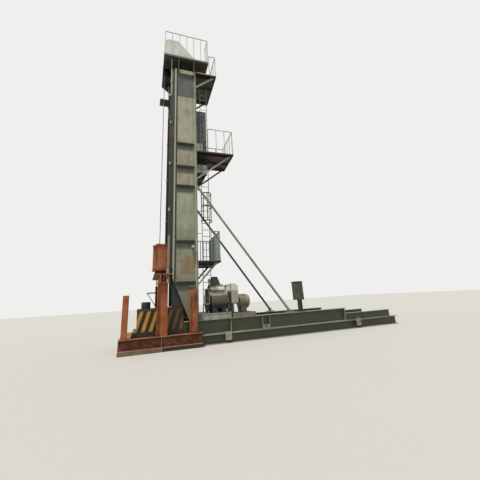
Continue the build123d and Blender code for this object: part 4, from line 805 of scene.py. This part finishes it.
class UNIT_OT_fittings(bpy.types.Operator):
    """Add the wall lamp, breather, cleat, hood seams, the cabinet's door edge and handle, and ledge welds"""

    bl_idname = "unit.fittings"
    bl_label = "Add the fittings"

    def execute(self, context):
        paint = bpy.data.materials["brushed_green_enamel"]
        cream = bpy.data.materials["sprayed_cream_enamel"]
        zinc = bpy.data.materials["dipped_zinc_coat"]
        cabinet = bpy.data.materials["sprayed_dark_green_enamel"]
        build("wall_lamp", self.lamp_grids(), paint, True)
        build("motor_breather", self.breather_grids(), cream, True)
        build("wall_cleat", self.cleat_grids(), paint)
        build("hood_seams", self.seam_grids(), cream)
        build("cabinet_door_seam", self.door_grids(), cabinet)
        build("cabinet_handle", self.handle_grids(), zinc, True)
        build("ledge_welds", self.weld_grids(), paint, True)
        return {"FINISHED"}

    def lamp_grids(self):
        """A bell turned about a plumb axis, a quarter-circle arm and a round plate on the near wall."""
        wall_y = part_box("tower_side_near")[0].y + PANEL_SET
        x, z = WALL_LAMP_PLACE
        bell = [(0.0, 0.0), (0.05, 0.0), (0.055, -0.03), (0.085, -0.075), (0.1, -0.1), (0.092, -0.1),
                (0.05, -0.05), (0.0, -0.045)]
        turn = np.linspace(0, np.pi / 2, 10)
        out = wall_y - 0.09 * np.sin(turn) - 0.001
        rise = z + 0.03 * (1 - np.cos(turn))
        arm = np.stack([np.full(10, x), out, rise], -1)
        plate = [(0.0, 0.012), (0.045, 0.012), (0.05, 0.006), (0.05, -0.004)]
        return [turned_grid(bell, (x, wall_y - 0.1, z), (0, 0, 1), 24),
                swept_grid(arm, 0.026, 0.026, (1, 0, 0)),
                turned_grid(plate, (x, wall_y, z), (0, -1, 0), 18)]

    def breather_grids(self):
        """A filler cap on the motor's saddle cover: neck, cap and domed top turned about a plumb axis."""
        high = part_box("motor_cover")[1]
        box_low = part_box("terminal_box")[0]
        dome = [(0.0, 0.0), (0.03, 0.0), (0.03, 0.12), (0.052, 0.13), (0.055, 0.22), (0.045, 0.26),
                (0.02, 0.28), (0.0, 0.285)]
        foot = (box_low.x - 0.055, (box_low.y + 2 * high.y) / 3 - 0.13, high.z - 0.03)
        return [turned_grid(dome, foot, (0, 0, 1), 20)]

    def cleat_grids(self):
        """A bent strip bolted low on the near wall: its height is 0.012 sin(2.1 i) plus a gentle slope."""
        wall_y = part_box("tower_side_near")[0].y + PANEL_SET - 0.002
        x = np.linspace(1.1, 1.34, 13)
        rise = 0.012 * np.sin(np.arange(13) * 2.1) + 0.05 * (x - 1.1)
        path = np.stack([x, np.full(13, wall_y - 0.012), 2.12 + rise], -1)
        return [swept_grid(path, 0.05, 0.016, (0, -1, 0))] + bolt_grids(
            [(1.12, wall_y - 0.02, 2.125), (1.32, wall_y - 0.02, 2.14)], (0, -1, 0), 0.012)

    def seam_grids(self):
        """Lapped strips on the hood: up one side, over the flat top, down the other, and along both hems."""
        low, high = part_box("crown_hood")
        x = low.x + 0.42
        near, far = low.y - 0.003, high.y + 0.003
        top = high.z
        side = [(x, near, z) for z in np.linspace(low.z + 0.01, top, 12)]
        over = [(x, y, top) for y in np.linspace(near + 0.02, far - 0.02, 8)]
        down = [(x, far, z) for z in np.linspace(top, low.z + 0.01, 12)]
        runs = np.linspace(low.x + 0.01, high.x - 0.01, 16)
        hem_near = [(along, near, low.z + 0.02) for along in runs]
        hem_far = [(along, far, low.z + 0.02) for along in runs]
        return [swept_grid(side, 0.03, 0.006, (0, -1, 0)), swept_grid(over, 0.03, 0.004, (0, 0, 1)),
                swept_grid(down, 0.03, 0.006, (0, 1, 0)), swept_grid(hem_near, 0.03, 0.006, (0, -1, 0)),
                swept_grid(hem_far, 0.03, 0.006, (0, 1, 0))]

    def door_grids(self):
        """The folded edge of the door leaf: four bars round a rectangle, proud of the cabinet's near face."""
        low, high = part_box("control_cabinet")
        y = low.y + DOOR_SET - 0.004
        x0, x1, z0, z1 = low.x + 0.045, high.x - 0.045, low.z + 0.03, high.z - 0.05
        runs = (((x0, z0), (x1, z0)), ((x1, z0), (x1, z1)), ((x1, z1), (x0, z1)), ((x0, z1), (x0, z0)))
        share = np.linspace(0, 1, 8)
        grids = []
        for (xa, za), (xb, zb) in runs:
            path = np.stack([xa + share * (xb - xa), np.full(8, y), za + share * (zb - za)], -1)
            grids.append(swept_grid(path, 0.014, 0.012, (0, -1, 0)))
        return grids

    def handle_grids(self):
        """A handle that bows out by a half sine on its turned rose, and two barrel hinges."""
        low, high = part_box("control_cabinet")
        y = low.y + DOOR_SET
        x, z = high.x - 0.085, (low.z + high.z) / 2
        rose = [(0.0, 0.018), (0.02, 0.018), (0.026, 0.012), (0.026, 0.0)]
        turn = np.linspace(0, 1, 10)
        bow = y - 0.022 - 0.01 * np.sin(np.pi * turn)
        grip = np.stack([np.full(10, x), bow, z + 0.01 - 0.13 * turn], -1)
        hinge = [(0.0, -0.03), (0.01, -0.03), (0.012, -0.026), (0.012, 0.026), (0.01, 0.03), (0.0, 0.03)]
        hinges = [turned_grid(hinge, (low.x + 0.035, y - 0.006, height), (0, 0, 1), 12)
                  for height in (low.z + 0.15, high.z - 0.16)]
        return [turned_grid(rose, (x, y, z), (0, -1, 0), 18),
                swept_grid(grip, 0.02, 0.012, (0, -1, 0)), *hinges]

    def weld_grids(self):
        """Fillet welds along the panels: a bead at each rise above the panels' foot, on both sides."""
        low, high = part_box("tower_side_near")
        panel = abs(low.y + PANEL_SET)
        x0, x1 = low.x + 0.07, high.x - 0.045
        beads = []
        for rise in WELD_RISES:
            z = low.z + rise - 0.001
            beads += [bead_grid((x0, y, z), (x1, y, z), WELD_RADIUS) for y in (-panel, panel)]
        return beads


class UNIT_OT_studio(bpy.types.Operator):
    """Set a plain pale floor, a soft key lamp, light from all round and the camera"""

    bl_idname = "unit.studio"
    bl_label = "Set the studio"

    def execute(self, context):
        look = context.scene.unit_finish
        self.lay_floor(look.floor_side, look.floor_colour)
        self.light_world(context.scene, look.fill_strength)
        self.hang_lamp(context.scene, look.sun_strength)
        self.place_camera(context.scene)
        context.scene.view_settings.view_transform = "Standard"
        return {"FINISHED"}

    def lay_floor(self, side, colour):
        """A square floor of matt paper, a hair below the rails."""
        corners = np.array([(-1, -1, 0), (1, -1, 0), (1, 1, 0), (-1, 1, 0)]) * side / 2
        corners[:, 2] -= FLOOR_DROP
        mesh = bpy.data.meshes.new("studio_floor")
        mesh.from_pydata(corners.tolist(), [], [(0, 1, 2, 3)])
        floor = bpy.data.objects.new("studio_floor", mesh)
        bpy.context.scene.collection.objects.link(floor)
        material = bpy.data.materials.new("matt_studio_floor")
        material.use_nodes = True
        material.node_tree.nodes.clear()
        close(material.node_tree, {"Base Color": linear(colour), "Roughness": 0.9})
        mesh.materials.append(material)

    def light_world(self, scene, strength):
        """An even cool light on the object, and pale paper where the camera or a gloss looks past it."""
        world = bpy.data.worlds.new("studio_world")
        scene.world = world
        world.use_nodes = True
        tree = world.node_tree
        tree.nodes.clear()
        ray = add(tree, "LightPath")
        seen = add(tree, "Math", {0: (ray, "Is Camera Ray"), 1: (ray, "Is Glossy Ray")}, operation="MAXIMUM")
        seen = add(tree, "Math", {0: (seen, 0), 1: (ray, "Is Transmission Ray")}, operation="MAXIMUM")
        lamp = add(tree, "Background", {"Color": linear("#DDE4EA"), "Strength": strength})
        paper = add(tree, "Background", {"Color": linear("#EFEFED"), "Strength": 1.0})
        both = add(tree, "MixShader", {0: (seen, 0), 1: (lamp, 0), 2: (paper, 0)})
        add(tree, "OutputWorld", {0: (both, 0)})

    def hang_lamp(self, scene, strength):
        """A soft warm key lamp whose third axis points away from where it shines."""
        lamp = bpy.data.lights.new("key_lamp", "SUN")
        lamp.energy = strength
        lamp.angle = LAMP_ANGLE
        lamp.color = linear("#FFF6E6")[:3]
        held = bpy.data.objects.new("key_lamp", lamp)
        scene.collection.objects.link(held)
        held.matrix_world = Matrix(np.array(axes_of(-np.array(LAMP_DIRECTION))).T.tolist()).to_4x4()

    def place_camera(self, scene):
        """The camera of the photograph: its focal length, the shift of its optical axis, place and axes."""
        lens = bpy.data.cameras.new("camera")
        lens.sensor_width = SENSOR_MM
        lens.lens = FOCAL_PIXELS / IMAGE_SIDE * SENSOR_MM
        lens.shift_x = (IMAGE_SIDE / 2 - OPTICAL_AXIS_PIXEL[0]) / IMAGE_SIDE
        lens.shift_y = (OPTICAL_AXIS_PIXEL[1] - IMAGE_SIDE / 2) / IMAGE_SIDE
        lens.clip_end = CAMERA_REACH
        camera = bpy.data.objects.new("camera", lens)
        scene.collection.objects.link(camera)
        turn = np.eye(4)
        turn[:3, :3] = np.array([CAMERA_RIGHT, CAMERA_UP, CAMERA_BACK]).T
        turn[:3, 3] = CAMERA_PLACE
        camera.matrix_world = Matrix(turn.tolist())
        scene.camera = camera


class UNIT_PT_panel(bpy.types.Panel):
    """Sidebar panel with the unit's settings and steps."""

    bl_idname = "UNIT_PT_panel"
    bl_label = "Pumping Unit"
    bl_space_type = "VIEW_3D"
    bl_region_type = "UI"
    bl_category = "Pumping Unit"

    def draw(self, context):
        for name in UNIT_PG_finish.__annotations__:
            self.layout.prop(context.scene.unit_finish, name)
        for step in STEPS:
            self.layout.operator(step.bl_idname)


STEPS = (UNIT_OT_finishes, UNIT_OT_bolts, UNIT_OT_fittings, UNIT_OT_studio)
CLASSES = (UNIT_PG_finish, *STEPS, UNIT_PT_panel)


def register():
    """Add the classes and the scene's settings."""
    for kind in CLASSES:
        bpy.utils.register_class(kind)
    bpy.types.Scene.unit_finish = bpy.props.PointerProperty(type=UNIT_PG_finish)


def unregister():
    """Take the settings and the classes away again."""
    del bpy.types.Scene.unit_finish
    for kind in reversed(CLASSES):
        bpy.utils.unregister_class(kind)


def main():
    """Run the steps in order."""
    register()
    for step in STEPS:
        family, name = step.bl_idname.split(".")
        getattr(getattr(bpy.ops, family), name)()


if __name__ == "__main__":
    main()
